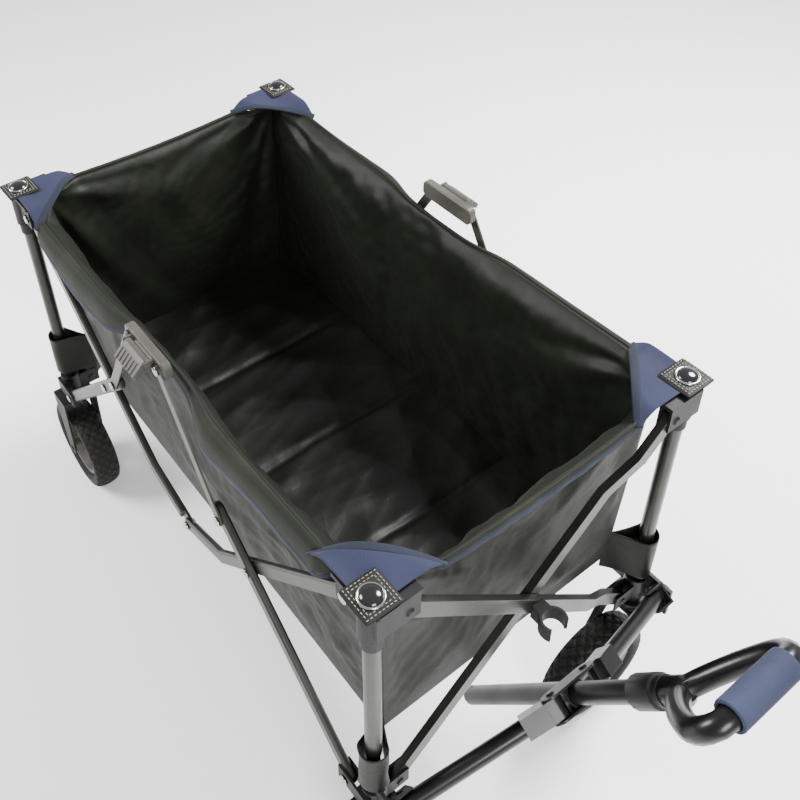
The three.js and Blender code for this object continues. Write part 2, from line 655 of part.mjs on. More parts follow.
// A finger lever with grooves across its outer face, hinged at its top. It is laid out about the
// hinge with Y outwards.
const latchLever = (sy) => {
  const inner = LINK_IN + 1.2 - LEVER_AXIS_Y;
  const outer = 7;
  const shape = new THREE.Shape();
  shape.moveTo(inner + 7, -LEVER_DROP);
  shape.lineTo(outer, -LEVER_DROP + 2);
  shape.absarc(0, 0, 6.2, 0, Math.PI, false);
  shape.lineTo(inner, -6);
  const blade = onEnd(slab(shape, LEVER_WIDTH, 1), 0);
  const pitch = LEVER_WIDTH / (LEVER_RIBS + 1);
  const grooves = Array.from({ length: LEVER_RIBS }, (_, i) => {
    const x = (i + 1) * pitch - LEVER_WIDTH / 2;
    return block(x - 1.5, x + 1.5, outer - LEVER_GROOVE, outer + 1, -LEVER_DROP - 1, -6);
  });
  const bore = rod(
    LEVER_PIN_R + PIN_CLEARANCE, -LEVER_WIDTH, LEVER_WIDTH, 'x', [0, 0, 0], RIVET_SEG,
  );
  const lever = cut(blade, ...grooves, bore);
  lever.rotateX(LEVER_TILT);
  lever.rotateZ(sy > 0 ? 0 : Math.PI);
  return lever.translate(0, sy * (B + LEVER_AXIS_Y), LEVER_AXIS_Z);
};

for (const [side, sy] of [['right', -1], ['left', 1]]) {
  for (const [end, sx] of [['front', 1], ['rear', -1]]) {
    add(`${side}_${end}_strut`, sideStrut(sx, sy), CHARCOAL);
    add(`${side}_${end}_tie`, sideTie(sx, sy), CHARCOAL);
    add(`${side}_${end}_latch_link`, latchLink(sx, sy), BEIGE_STEEL);
  }
  add(`${side}_latch_housing`, latchHousing(sy), GREY_PLASTIC);
  add(`${side}_latch_lever`, latchLever(sy), GREY_PLASTIC);
}

// End scissors. Both bars meet the hubs in the post's own plane and the caps one layer outside
// it. The bar from the right hub steps outwards above the crossing, and the other one below it.
const BAR_LENGTH = Math.hypot(2 * HALF_SPAN, RISE);

const endBar = (sx, foot) => {
  const start = [-MEMBER_WIDTH, 0];
  const finish = [BAR_LENGTH + MEMBER_WIDTH, PITCH_Y];
  const step = foot < 0
    ? [[BAR_LENGTH - JOGGLE_END, 0], [BAR_LENGTH - JOGGLE_START, PITCH_Y]]
    : [[JOGGLE_START, 0], [JOGGLE_END, PITCH_Y]];
  const profile = slab(ribbon([start, ...step, finish], MEMBER_THICK), MEMBER_WIDTH).rotateX(Math.PI / 2);
  const outline = slab(ribbon([[0, 0], [BAR_LENGTH, 0]], MEMBER_WIDTH), 6 * MEMBER_THICK);
  const bar = meet(profile, outline);
  const along = new THREE.Vector3(0, -foot * 2 * HALF_SPAN, RISE).normalize();
  const out = new THREE.Vector3(sx, 0, 0);
  bar.applyMatrix4(new THREE.Matrix4().makeBasis(along, out.clone().cross(along), out));
  bar.translate(sx * A, foot * HALF_SPAN, BOTTOM_PIVOT_Z);
  const hole = (y, z) => {
    const reach = [sx * (A - MEMBER_THICK), sx * (A + PITCH_Y + MEMBER_THICK)].sort((p, q) => p - q);
    return pinHole(reach[0], reach[1], 'x', [0, y, z]);
  };
  const ends = [hole(foot * HALF_SPAN, BOTTOM_PIVOT_Z), hole(-foot * HALF_SPAN, TOP_PIVOT_Z)];
  if (foot < 0) return cut(bar, ...ends, hole(0, CROSS_Z));
  const reach = [
    sx * (A - MEMBER_THICK / 2 - FACE_GAP),
    sx * (A + PITCH_Y + MEMBER_THICK / 2),
  ].sort((p, q) => p - q);
  return join(cut(bar, ...ends), rivet(reach[0], reach[1], 'x', [0, 0, CROSS_Z]));
};

for (const [end, sx] of [['front', 1], ['rear', -1]]) {
  add(`${end}_cross_bar_right`, endBar(sx, -1), CHARCOAL);
  add(`${end}_cross_bar_left`, endBar(sx, 1), CHARCOAL);
}

// Spring clip over the front crossing's rivet, in line with the upright handle
const handleClip = () => {
  const barFront = A + PITCH_Y + MEMBER_THICK / 2 + FACE_GAP;
  const bore = OUTER_TUBE_R + 0.5;
  const centre = A + YOKE_AHEAD;
  const shape = new THREE.Shape();
  const open = CLIP_MOUTH / 2;
  shape.absarc(0, 0, bore + CLIP_WALL, open, 2 * Math.PI - open, false);
  shape.absarc(0, 0, bore, 2 * Math.PI - open, open, true);
  const hook = slab(shape, CLIP_HEIGHT, 0, 8).translate(centre, 0, CROSS_Z);
  const half = CLIP_HEIGHT / 2;
  const base = block(barFront, centre - bore - 0.5, -9, 9, CROSS_Z - half, CROSS_Z + half);
  const recess = rod(
    HEAD_R + FACE_GAP, barFront - 1, barFront + HEAD_T + FACE_GAP, 'x', [0, 0, CROSS_Z],
  );
  return cut(join(hook, base), recess);
};
add('handle_clip', handleClip(), BLACK_PLASTIC);

// Drawbar and handle, in a frame whose X runs along the handle and whose Y is the yoke axis
const drawbar = new THREE.Group();
drawbar.position.set(A + YOKE_AHEAD, 0, YOKE_Z);
drawbar.rotation.y = -HANDLE_PITCH;
wagon.add(drawbar);

const YOKE_Y = B - YOKE_INSET;

const yoke = (sy) => {
  const gap = DRAWBAR_R + LAYER_GAP;
  const y = (v) => sy * (YOKE_Y + v);
  const cheek = (n) => block(
    -YOKE_HALF, YOKE_HALF, y(-YOKE_HALF), y(YOKE_HALF + YOKE_T), n * gap, n * (gap + YOKE_T),
  );
  const back = block(
    -YOKE_HALF, YOKE_HALF, y(YOKE_HALF), y(YOKE_HALF + YOKE_T), -gap - YOKE_T, gap + YOKE_T,
  );
  const trunnion = [y(YOKE_HALF + 1), sy * (LUG_IN + LUG_T + FACE_GAP)].sort((p, q) => p - q);
  const capLow = sy > 0 ? trunnion[1] : trunnion[0] - HEAD_T;
  return join(
    cheek(1),
    cheek(-1),
    back,
    rod(TRUNNION_R, trunnion[0], trunnion[1] + (sy > 0 ? 1 : 0), 'y', [0, 0, 0]),
    rod(TRUNNION_R + 3, capLow, capLow + HEAD_T, 'y', [0, 0, 0]),
    rivet(-gap - YOKE_T, gap + YOKE_T, 'z', [0, sy * YOKE_Y, 0]),
  );
};

// The left-hand half is the linkage's open end: a tongue between the bracket's plates, short of the
// rivet by as much as the half swings in when the frame is partly folded.
const drawbarHalf = (sy) => {
  const open = sy > 0;
  const span = YOKE_Y - CLAMP_OFFSET;
  const length = Math.hypot(DRAWBAR_REACH, span);
  const shoulder = length - (open ? OPEN_SHOULDER : CLAMP_EYE_R + 2);
  const tube = rod(DRAWBAR_R, -DRAWBAR_TAIL, shoulder - 4, 'x', [0, 0, 0]);
  const eye = slab(ribbon([[length, 0], [shoulder - 6, 0]], 2 * CLAMP_EYE_R), 2 * CLAMP_HALF);
  const tongue = block(
    shoulder - 6, length - OPEN_END_GAP, -OPEN_TONGUE_HALF, OPEN_TONGUE_HALF, -CLAMP_HALF, CLAMP_HALF,
  );
  const channel = block(
    shoulder - CLAMP_LENGTH, shoulder, -CLAMP_HALF, CLAMP_HALF, -CLAMP_HALF, CLAMP_HALF,
  );
  const holes = [
    pinHole(-CLAMP_HALF * 2, CLAMP_HALF * 2, 'z', [0, 0, 0]),
    pinHole(-CLAMP_HALF * 2, CLAMP_HALF * 2, 'z', [length, 0, 0]),
  ];
  const half = cut(join(tube, channel, open ? tongue : eye), ...holes);
  half.rotateZ(Math.atan2(-sy * span, DRAWBAR_REACH));
  return half.translate(0, sy * YOKE_Y, 0);
};

// Two plates either side of the drawbar's ends, tied by a sleeve round the handle tube. Only the
// right-hand rivet goes through, because the left-hand end is the linkage's open pivot.
const centreBracket = () => {
  const gap = CLAMP_HALF + FACE_GAP;
  const at = DRAWBAR_REACH;
  const plate = (n) => {
    const outline = ribbon([[at, -CLAMP_OFFSET], [at, CLAMP_OFFSET]], 2 * BRACKET_R);
    return slab(outline, BRACKET_T).translate(0, 0, n * (gap + BRACKET_T / 2));
  };
  const sleeve = rod(gap + BRACKET_T, -SLEEVE_HALF, SLEEVE_HALF, 'x', [at, 0, 0]);
  const bore = rod(OUTER_TUBE_R + FACE_GAP, -BRACKET_R - 1, BRACKET_R + 1, 'x', [at, 0, 0]);
  const top = [
    [0, gap + 1], [HEAD_R, gap + 1], [HEAD_R, gap + BRACKET_T], [HEAD_R * 0.65, gap + BRACKET_T + HEAD_T],
    [0, gap + BRACKET_T + HEAD_T],
  ];
  const bottom = top.map(([r, z]) => [r, -z]).reverse();
  return join(
    cut(join(plate(1), plate(-1), sleeve), bore),
    rivet(-gap - BRACKET_T, gap + BRACKET_T, 'z', [at, -CLAMP_OFFSET, 0]),
    turned(top, 'z', [at, CLAMP_OFFSET, 0], RIVET_SEG),
    turned(bottom, 'z', [at, CLAMP_OFFSET, 0], RIVET_SEG),
  );
};

for (const [side, sy] of [['right', -1], ['left', 1]]) {
  add(`${side}_yoke`, yoke(sy), BLACK_PLASTIC, drawbar);
  add(`${side}_drawbar_half`, drawbarHalf(sy), GLOSS_BLACK, drawbar);
}
add('drawbar_bracket', centreBracket(), BLACK_PLASTIC, drawbar);

const handle = new THREE.Group();
handle.position.x = DRAWBAR_REACH;
drawbar.add(handle);

const outerTube = () => {
  const bore = OUTER_TUBE_R - OUTER_TUBE_WALL;
  const profile = [
    [0, -OUTER_TUBE_BACK], [OUTER_TUBE_R - 4, -OUTER_TUBE_BACK], [OUTER_TUBE_R, -OUTER_TUBE_BACK + 5],
    [OUTER_TUBE_R, OUTER_TUBE_AHEAD], [bore, OUTER_TUBE_AHEAD], [bore, -OUTER_TUBE_BACK + 8],
    [0, -OUTER_TUBE_BACK + 8],
  ];
  const drainHole = rod(2.5, 0, OUTER_TUBE_R + 1, 'z', [-OUTER_TUBE_BACK + 22, 0, 0], 12);
  return cut(turned(profile, 'x', [0, 0, 0]), drainHole);
};

const NECK_START = OUTER_TUBE_AHEAD + LOCK_LENGTH - 4;
const INNER_FRONT = NECK_START + NECK_LENGTH - 10;
const INNER_BACK = -OUTER_TUBE_BACK + 20;

const twistLock = () => {
  const low = OUTER_TUBE_AHEAD - 6;
  const seat = OUTER_TUBE_AHEAD + FACE_GAP;
  const high = NECK_START - LAYER_GAP;
  const wide = OUTER_TUBE_R + FACE_GAP;
  const slim = INNER_TUBE_R + FACE_GAP;
  const profile = [
    [wide, low], [LOCK_R - 2, low], [LOCK_R, low + 3], [LOCK_R, high - 12], [LOCK_R - 2.5, high - 9],
    [LOCK_R - 2.5, high], [slim, high], [slim, seat], [wide, seat], [wide, low],
  ];
  return turned(profile, 'x', [0, 0, 0]);
};

const loopHandle = () => {
  const neck = turned([
    [0, NECK_START], [NECK_R, NECK_START], [NECK_R, NECK_START + NECK_LENGTH - 8],
    [NECK_R - 6, NECK_START + NECK_LENGTH], [0, NECK_START + NECK_LENGTH],
  ], 'x', [0, 0, 0]);
  const w = LOOP_HALF_WIDTH;
  const start = NECK_START + NECK_LENGTH - 14;
  const run = LOOP_REACH - start;
  const g = GRIP_LENGTH / 2;
  const branch = [
    [start, 3], [start + 0.2 * run, 0.42 * w], [start + 0.5 * run, 0.8 * w], [start + 0.78 * run, w],
    [start + 0.95 * run, 0.9 * w], [LOOP_REACH, g + 5], [LOOP_REACH, g + 1], [LOOP_REACH, g * 0.45],
  ];
  const points = [
    ...branch.map(([u, v]) => new THREE.Vector3(u, v, 0)),
    new THREE.Vector3(LOOP_REACH, 0, 0),
    ...branch.reverse().map(([u, v]) => new THREE.Vector3(u, -v, 0)),
  ];
  const path = new THREE.CatmullRomCurve3(points, false, 'centripetal');
  const section = new THREE.Shape();
  section.absarc(0, 0, LOOP_R, 0, 2 * Math.PI, false);
  const loop = new THREE.ExtrudeGeometry(section, { steps: 36, extrudePath: path, curveSegments: 5 });
  const bore = rod(INNER_TUBE_R + FACE_GAP, NECK_START - 1, INNER_FRONT + FACE_GAP, 'x', [0, 0, 0]);
  return cut(join(neck, loop), bore);
};

add('handle_outer_tube', outerTube(), GLOSS_BLACK, handle);
const innerBore = INNER_TUBE_R - INNER_TUBE_WALL;
const innerTube = pipe(INNER_TUBE_R, innerBore, INNER_BACK, INNER_FRONT, 'x', [0, 0, 0]);
add('handle_inner_tube', innerTube, GUNMETAL, handle);
add('handle_twist_lock', twistLock(), BLACK_PLASTIC, handle);
add('handle_loop', loopHandle(), GLOSS_BLACK, handle);
const foam = pipe(
  LOOP_R + FACE_GAP + GRIP_T, LOOP_R + FACE_GAP, -GRIP_LENGTH / 2, GRIP_LENGTH / 2, 'y', [LOOP_REACH, 0, 0],
);
add('handle_foam_grip', foam, NAVY_FOAM, handle);

// Fabric tub, open at the top, and the padded mat on its floor
const flared = (halfX, halfY, halfTopX, halfTopY, low, high) => {
  const geometry = new THREE.BoxGeometry(2 * halfX, 2 * halfY, high - low);
  const place = geometry.attributes.position;
  for (let i = 0; i < place.count; i += 1) {
    const upper = place.getZ(i) > 0;
    place.setX(i, Math.sign(place.getX(i)) * (upper ? halfTopX : halfX));
    place.setY(i, Math.sign(place.getY(i)) * (upper ? halfTopY : halfY));
  }
  return geometry.translate(0, 0, (low + high) / 2);
};

const tub = () => {
  const outer = [TUB_BOTTOM_X / 2, TUB_BOTTOM_Y / 2, TUB_TOP_X / 2, TUB_TOP_Y / 2];
  const inner = outer.map((size) => size - TUB_WALL);
  return cut(
    flared(...outer, TUB_BOTTOM_Z, TUB_TOP_Z),
    flared(...inner, TUB_BOTTOM_Z + TUB_WALL, TUB_TOP_Z + 1),
  );
};
add('fabric_tub', tub(), OLIVE_FABRIC);

const matZ = TUB_BOTTOM_Z + TUB_WALL + FACE_GAP;
const matX = TUB_BOTTOM_X / 2 - TUB_WALL - MAT_MARGIN;
const matY = TUB_BOTTOM_Y / 2 - TUB_WALL - MAT_MARGIN;
add('floor_mat', block(-matX, matX, -matY, matY, matZ, matZ + MAT_T), OLIVE_FABRIC);

// Centre the wagon over the origin along X.
wagon.updateMatrixWorld(true);
const reach = new THREE.Box3().setFromObject(wagon);
wagon.position.x = -(reach.min.x + reach.max.x) / 2;

export default wagon;
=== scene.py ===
# Looks of the folding utility wagon: sewn polyester tub, coated steel frame, moulded fittings, rubber wheels.
# Metres, +Z up, +X towards the handle. R is the right (near, -Y) side, F the front (+X) end.
import json
import math

import bpy
import bmesh
import numpy as np
from mathutils import Matrix, Vector

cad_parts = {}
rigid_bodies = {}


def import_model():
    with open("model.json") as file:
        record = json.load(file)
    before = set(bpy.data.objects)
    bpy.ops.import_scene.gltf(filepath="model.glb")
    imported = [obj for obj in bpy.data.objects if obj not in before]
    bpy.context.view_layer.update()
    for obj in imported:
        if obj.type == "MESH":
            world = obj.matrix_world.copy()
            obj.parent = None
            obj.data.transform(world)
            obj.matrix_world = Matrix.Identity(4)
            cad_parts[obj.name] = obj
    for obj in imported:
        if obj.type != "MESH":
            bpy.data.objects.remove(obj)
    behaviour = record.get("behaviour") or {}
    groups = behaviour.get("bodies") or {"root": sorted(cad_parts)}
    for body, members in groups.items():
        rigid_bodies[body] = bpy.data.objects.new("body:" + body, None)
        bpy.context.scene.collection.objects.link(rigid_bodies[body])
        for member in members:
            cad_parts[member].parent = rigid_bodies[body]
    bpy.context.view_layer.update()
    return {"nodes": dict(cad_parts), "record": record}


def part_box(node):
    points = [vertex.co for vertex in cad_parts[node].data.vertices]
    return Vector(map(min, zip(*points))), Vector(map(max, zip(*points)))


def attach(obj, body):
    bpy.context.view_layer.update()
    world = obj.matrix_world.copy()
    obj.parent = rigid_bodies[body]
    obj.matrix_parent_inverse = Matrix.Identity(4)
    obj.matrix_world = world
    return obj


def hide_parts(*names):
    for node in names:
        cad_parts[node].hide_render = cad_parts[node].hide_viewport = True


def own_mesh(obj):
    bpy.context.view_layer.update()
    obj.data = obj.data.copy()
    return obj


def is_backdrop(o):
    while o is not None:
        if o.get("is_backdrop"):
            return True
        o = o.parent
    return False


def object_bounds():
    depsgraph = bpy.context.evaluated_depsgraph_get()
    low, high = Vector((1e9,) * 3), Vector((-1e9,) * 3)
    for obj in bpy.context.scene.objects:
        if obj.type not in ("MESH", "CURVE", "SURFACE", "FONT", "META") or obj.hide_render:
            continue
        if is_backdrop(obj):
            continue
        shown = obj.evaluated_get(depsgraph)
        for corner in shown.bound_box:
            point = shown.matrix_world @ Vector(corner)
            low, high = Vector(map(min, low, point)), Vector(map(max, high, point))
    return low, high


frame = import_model()

MM = 0.001

# ---------------------------------------------------------------- materials


def colour(code):
    """An sRGB hex code as linear RGBA."""
    part = np.array([int(code[i:i + 2], 16) for i in (1, 3, 5)]) / 255
    linear = np.where(part <= 0.04045, part / 12.92, ((part + 0.055) / 1.055) ** 2.4)
    return (*linear.tolist(), 1.0)


def add(tree, kind, wires=None, **settings):
    """A shader node with its settings, its constants and its incoming links."""
    made = tree.nodes.new("ShaderNode" + kind)
    for key, value in settings.items():
        setattr(made, key, value)
    for key, value in (wires or {}).items():
        if isinstance(value, bpy.types.NodeSocket):
            tree.links.new(value, made.inputs[key])
        else:
            made.inputs[key].default_value = value
    return made


def finish_of(name):
    """An empty material with its tree, its shader and the object's own coordinates."""
    material = bpy.data.materials.new(name)
    material.use_nodes = True
    tree = material.node_tree
    shader = tree.nodes["Principled BSDF"]
    place = add(tree, "TexCoord").outputs["Object"]
    return material, tree, shader, place


def mottled(tree, noise, stops):
    """Clouds of colour: noise, whose value picks a colour between the stops. Gives colour and value."""
    clouds = add(tree, "TexNoise", noise).outputs["Fac"]
    tones = add(tree, "ValToRGB", {"Fac": clouds})
    ends = tones.color_ramp.elements
    ends[0].position, ends[0].color = stops[0][0], colour(stops[0][1])
    ends[1].position, ends[1].color = stops[-1][0], colour(stops[-1][1])
    for at, code in stops[1:-1]:
        ends.new(at).color = colour(code)
    return tones.outputs["Color"], clouds


def cloth_finish(name, dark, mid, light, thread, crumple, sheen, rough, glint=0.18):
    """Plain-woven polyester: threads over and under at right angles on the piece's own UV map, in metres,
    with broad creases left by folding. The yarn glints a little, so creases show as soft light lines.
    thread is the drawn thread spacing and crumple the depth of the creases, both in millimetres."""
    material, tree, shader, _ = finish_of(name)
    uv = add(tree, "UVMap", uv_map="cloth").outputs["UV"]
    # The colour clouds use the same noise as the folds' bump below. They are partly tone that differs at
    # random, and partly painted shade in the fold hollows and painted light on the crests.
    base, broad = mottled(
        tree,
        {"Vector": uv, "Scale": 9.0, "Detail": 6.0, "Roughness": 0.55, "Distortion": 0.3},
        [(0.3, dark), (0.52, mid), (0.74, light)],
    )
    # a wave texture counts 20 radians to a unit of scale, so this puts one band on each thread
    bands = 2 * math.pi / (thread * MM) / 20
    warp = add(tree, "TexWave", {"Vector": uv, "Scale": bands}, wave_type="BANDS", bands_direction="X")
    weft = add(tree, "TexWave", {"Vector": uv, "Scale": bands}, wave_type="BANDS", bands_direction="Y")
    crossed = {0: warp.outputs["Fac"], 1: weft.outputs["Fac"]}
    weave = add(tree, "Math", crossed, operation="MULTIPLY").outputs[0]
    lit = add(tree, "MixRGB", {"Fac": weave, "Color1": base, "Color2": colour(light)}, blend_type="MIX")
    yarn = {"Fac": 0.22, "Color1": base, "Color2": lit.outputs["Color"]}
    faint = add(tree, "MixRGB", yarn, blend_type="MIX")
    tree.links.new(faint.outputs["Color"], shader.inputs["Base Color"])
    slub = add(
        tree,
        "TexNoise",
        {"Vector": uv, "Scale": 60.0, "Detail": 4.0, "Roughness": 0.55, "Distortion": 0.8},
    )
    worn = add(tree, "MapRange", {"Value": broad, "To Min": rough - 0.04, "To Max": rough + 0.04})
    tree.links.new(worn.outputs["Result"], shader.inputs["Roughness"])
    folds = {"Height": broad, "Strength": 0.55, "Distance": crumple * MM}
    normal = add(tree, "Bump", folds).outputs["Normal"]
    for height, strength, deep in ((slub.outputs["Fac"], 0.5, 0.9), (weave, 0.35, 0.3)):
        relief = {"Height": height, "Strength": strength, "Distance": deep * MM, "Normal": normal}
        normal = add(tree, "Bump", relief).outputs["Normal"]
    tree.links.new(normal, shader.inputs["Normal"])
    shader.inputs["Sheen Weight"].default_value = sheen
    shader.inputs["Sheen Roughness"].default_value = 0.45
    shader.inputs["Specular IOR Level"].default_value = glint
    return material


def hard_finish(name, low, high, metallic, rough, grain, depth, coat=0.0):
    """A hard surface: a slow drift between two close colours, with fine grain in the gloss and the height.
    grain is the size of the grain and depth its height, both in millimetres."""
    material, tree, shader, place = finish_of(name)
    base, drift = mottled(
        tree,
        {"Vector": place, "Scale": 14.0, "Detail": 5.0, "Roughness": 0.6},
        [(0.32, low), (0.7, high)],
    )
    grit = {"Vector": place, "Scale": 1 / (grain * MM), "Detail": 3.0, "Roughness": 0.6}
    fine = add(tree, "TexNoise", grit).outputs["Fac"]
    tree.links.new(base, shader.inputs["Base Color"])
    mixed = add(tree, "Math", {0: drift, 1: fine}, operation="MULTIPLY")
    span = {
        "Value": mixed.outputs[0],
        "From Min": 0.1,
        "From Max": 0.4,
        "To Min": rough * 0.8,
        "To Max": rough * 1.25,
    }
    tree.links.new(add(tree, "MapRange", span).outputs["Result"], shader.inputs["Roughness"])
    relief = add(tree, "Bump", {"Height": fine, "Strength": 0.4, "Distance": depth * MM})
    tree.links.new(relief.outputs["Normal"], shader.inputs["Normal"])
    shader.inputs["Metallic"].default_value = metallic
    shader.inputs["Specular IOR Level"].default_value = 0.5 if metallic else 0.25
    shader.inputs["Coat Weight"].default_value = coat
    shader.inputs["Coat Roughness"].default_value = 0.12
    return material


# PU-coated polyester canvas: near black with an olive cast, soft grey glints along the creases.
# Threads are 0.5 mm and are drawn at 2.2 mm so that they show.
canvas = cloth_finish("coated_polyester_canvas", "#0c0e08", "#0f120a", "#14170e", 2.2, 3.0, 0.02, 0.5)
# The floor's panels are the same cloth over board, pulled smoother and a little shinier.
floor_canvas = cloth_finish("canvas_over_board", "#0b0d08", "#0e1009", "#13160d", 2.2, 2.5, 0.02, 0.4, 0.3)
# The hem's turned-over, doubled cloth shows its weave and looks a shade lighter.
hem_canvas = cloth_finish("canvas_hem_doubled", "#0e110a", "#14170e", "#202318", 2.2, 2.0, 0.02, 0.7)
# Woven nylon of the corner gussets: navy, faintly mottled by its coarser yarn.
navy_cloth = cloth_finish("navy_oxford_cloth", "#191c2e", "#21253b", "#2d324b", 2.4, 1.6, 0.06, 0.78)
# Grosgrain binding: grey-navy ribs across a folded tape.
binding_tape = cloth_finish("grosgrain_binding", "#12161f", "#191f2c", "#252d3e", 1.8, 0.8, 0.05, 0.8)
# PVC leatherette, embossed with a leather grain: the dull black patch under each dome.
leatherette = hard_finish("embossed_leatherette", "#0a0b08", "#131310", 0.0, 0.62, 1.4, 0.35)
# Twisted polyester sewing thread: pale grey against the patch, with no gloss.
thread_mat = hard_finish("polyester_sewing_thread", "#77766a", "#949284", 0.0, 0.7, 0.6, 0.15)
# Powder-coated flat steel members: warm grey, lightly textured.
coated_steel = hard_finish("grey_powder_coat", "#1b1b17", "#2d2c27", 0.3, 0.4, 1.1, 0.06, coat=0.1)
# Gunmetal painted round tube.
gunmetal = hard_finish("gunmetal_lacquer_tube", "#22221f", "#34332f", 0.7, 0.34, 0.9, 0.03, coat=0.2)
# Black stove enamel on the drawbar halves and the D-shaped loop: smooth, with a clear highlight.
gloss_black = hard_finish("black_stove_enamel", "#050505", "#0a0a09", 0.0, 0.32, 1.0, 0.04, coat=0.1)
# Black powder coat on forks, yokes, bracket and the handle's outer tube: satin, with a fine orange peel.
satin_black = hard_finish("black_satin_powder_coat", "#0a0a0a", "#131312", 0.0, 0.42, 0.8, 0.08, coat=0.05)
# Bright nickel plate on pressed rivets and dome rings: a mirror with small smudges.
nickel = hard_finish("nickel_plate", "#9a9992", "#bdbcb5", 1.0, 0.16, 0.7, 0.02)
# Zinc-plated, pressed strip of the latch links: dull warm grey metal.
zinc_strip = hard_finish("zinc_plated_strip", "#3d3c36", "#57554c", 0.6, 0.4, 0.8, 0.05)
# Moulded polypropylene fittings with a fine spark-eroded skin.
moulded_black = hard_finish("moulded_polypropylene", "#080807", "#10100f", 0.0, 0.52, 0.7, 0.12)
# Polished black enamel over a pressed dome: deep black under a clear coat.
dome_black = hard_finish("polished_black_dome", "#070707", "#101010", 0.0, 0.12, 1.0, 0.01, coat=0.8)
# Moulded grey nylon of the rims and latches: satin, faintly mottled.
rim_grey = hard_finish("grey_moulded_nylon", "#3a3934", "#504e47", 0.0, 0.45, 0.8, 0.1)
# Vulcanised rubber of the tyres: near black and matt, bloomed a little grey.
tyre_rubber = hard_finish("vulcanised_rubber", "#0c0c0b", "#171714", 0.0, 0.7, 1.2, 0.2)
# Closed-cell foam of the grip, dyed navy: fully matt, its cut cells drawn at 0.9 mm.
foam_navy = hard_finish("navy_cell_foam", "#232739", "#32374d", 0.0, 0.85, 0.9, 0.5)

# ---------------------------------------------------------------- surfaces


def surface(name, points, material, round_u=False, round_v=False, thick=0.0, size=None, offset=0.0):
    """A grid of points (nu, nv, 3) as one mesh of quads, closed in u or v where asked.
    Its UV map counts metres along u and v, measured on the grid's middle lines."""
    nu, nv = points.shape[:2]
    iu = np.arange(nu if round_u else nu - 1)
    iv = np.arange(nv if round_v else nv - 1)
    a, b = np.meshgrid(iu, iv, indexing="ij")
    a2, b2 = (a + 1) % nu, (b + 1) % nv
    faces = np.stack([a * nv + b, a2 * nv + b, a2 * nv + b2, a * nv + b2], -1).reshape(-1, 4)
    mesh = bpy.data.meshes.new(name)
    mesh.from_pydata(points.reshape(-1, 3).tolist(), [], faces.tolist())
    along_u = np.r_[0, np.cumsum(np.linalg.norm(np.diff(points[:, nv // 2], axis=0), axis=1))]
    along_v = np.r_[0, np.cumsum(np.linalg.norm(np.diff(points[nu // 2], axis=0), axis=1))]
    step_u = along_u[-1] + np.linalg.norm(points[0, nv // 2] - points[-1, nv // 2])
    step_v = along_v[-1] + np.linalg.norm(points[nu // 2, 0] - points[nu // 2, -1])
    lu = np.r_[along_u, step_u]
    lv = np.r_[along_v, step_v]
    uv = np.stack([
        np.stack([lu[a], lv[b]], -1), np.stack([lu[a + 1], lv[b]], -1),
        np.stack([lu[a + 1], lv[b + 1]], -1), np.stack([lu[a], lv[b + 1]], -1)], 2).reshape(-1, 2)
    layer = mesh.uv_layers.new(name="cloth")
    layer.data.foreach_set("uv", uv.ravel())
    mesh.polygons.foreach_set("use_smooth", np.ones(len(faces), bool))
    mesh.materials.append(material)
    mesh.update()
    made = bpy.data.objects.new(name, mesh)
    bpy.context.collection.objects.link(made)
    if thick:
        wall = made.modifiers.new("cloth_thickness", "SOLIDIFY")
        wall.thickness = thick
        wall.offset = offset
    return made


def turned_outwards(piece):
    """Merges doubles and turns every face of a closed piece outwards."""
    bm = bmesh.new()
    bm.from_mesh(piece.data)
    bmesh.ops.remove_doubles(bm, verts=bm.verts, dist=1e-6)
    bmesh.ops.recalc_face_normals(bm, faces=bm.faces)
    bm.to_mesh(piece.data)
    bm.free()
    return piece


def swept(name, path, half_w, half_t, wide, material, sides=12, power=2.0):
    """A superellipse, half_w by half_t, carried along a path (n, 3). `wide` (n, 3) is the section's wide
    direction at each point; the thin direction is square to it and to the path. Its ends are capped."""
    tangent = np.gradient(path, axis=0)
    tangent /= np.linalg.norm(tangent, axis=1, keepdims=True)
    w = wide - (wide * tangent).sum(1, keepdims=True) * tangent
    w /= np.linalg.norm(w, axis=1, keepdims=True)
    thin = np.cross(tangent, w)
    t = np.linspace(0, 2 * np.pi, sides, endpoint=False)
    c = np.sign(np.cos(t)) * np.abs(np.cos(t)) ** (2 / power)
    s = np.sign(np.sin(t)) * np.abs(np.sin(t)) ** (2 / power)
    hw = np.broadcast_to(half_w, len(path))[:, None, None]
    ht = np.broadcast_to(half_t, len(path))[:, None, None]
    ring = path[:, None] + hw * c[None, :, None] * w[:, None] + ht * s[None, :, None] * thin[:, None]
    caps = [np.repeat(path[[i]][:, None], sides, 1) for i in (0, -1)]
    grid = np.concatenate([caps[0], ring, caps[1]])
    return turned_outwards(surface(name, grid, material, round_v=True))


def revolved(name, profile, axis, centre, material, turns=48):
    """A profile of (radius, height) pairs turned about an axis through centre."""
    profile = np.array(profile, float)
    t = np.linspace(0, 2 * np.pi, turns, endpoint=False)
    axis = np.array(axis, float)
    side = np.array([0, 0, 1.0]) if abs(axis[2]) < 0.5 else np.array([1.0, 0, 0])
    other = np.cross(axis, side)
    radial = np.cos(t)[:, None] * side + np.sin(t)[:, None] * other
    grid = np.array(centre) + profile[None, :, :1] * radial[:, None] + profile[None, :, 1:] * axis
    return turned_outwards(surface(name, grid, material, round_u=True))


NODES_OF = frame["record"]["behaviour"]["bodies"]
BODY_OF = {node: body for body, nodes in NODES_OF.items() for node in nodes}


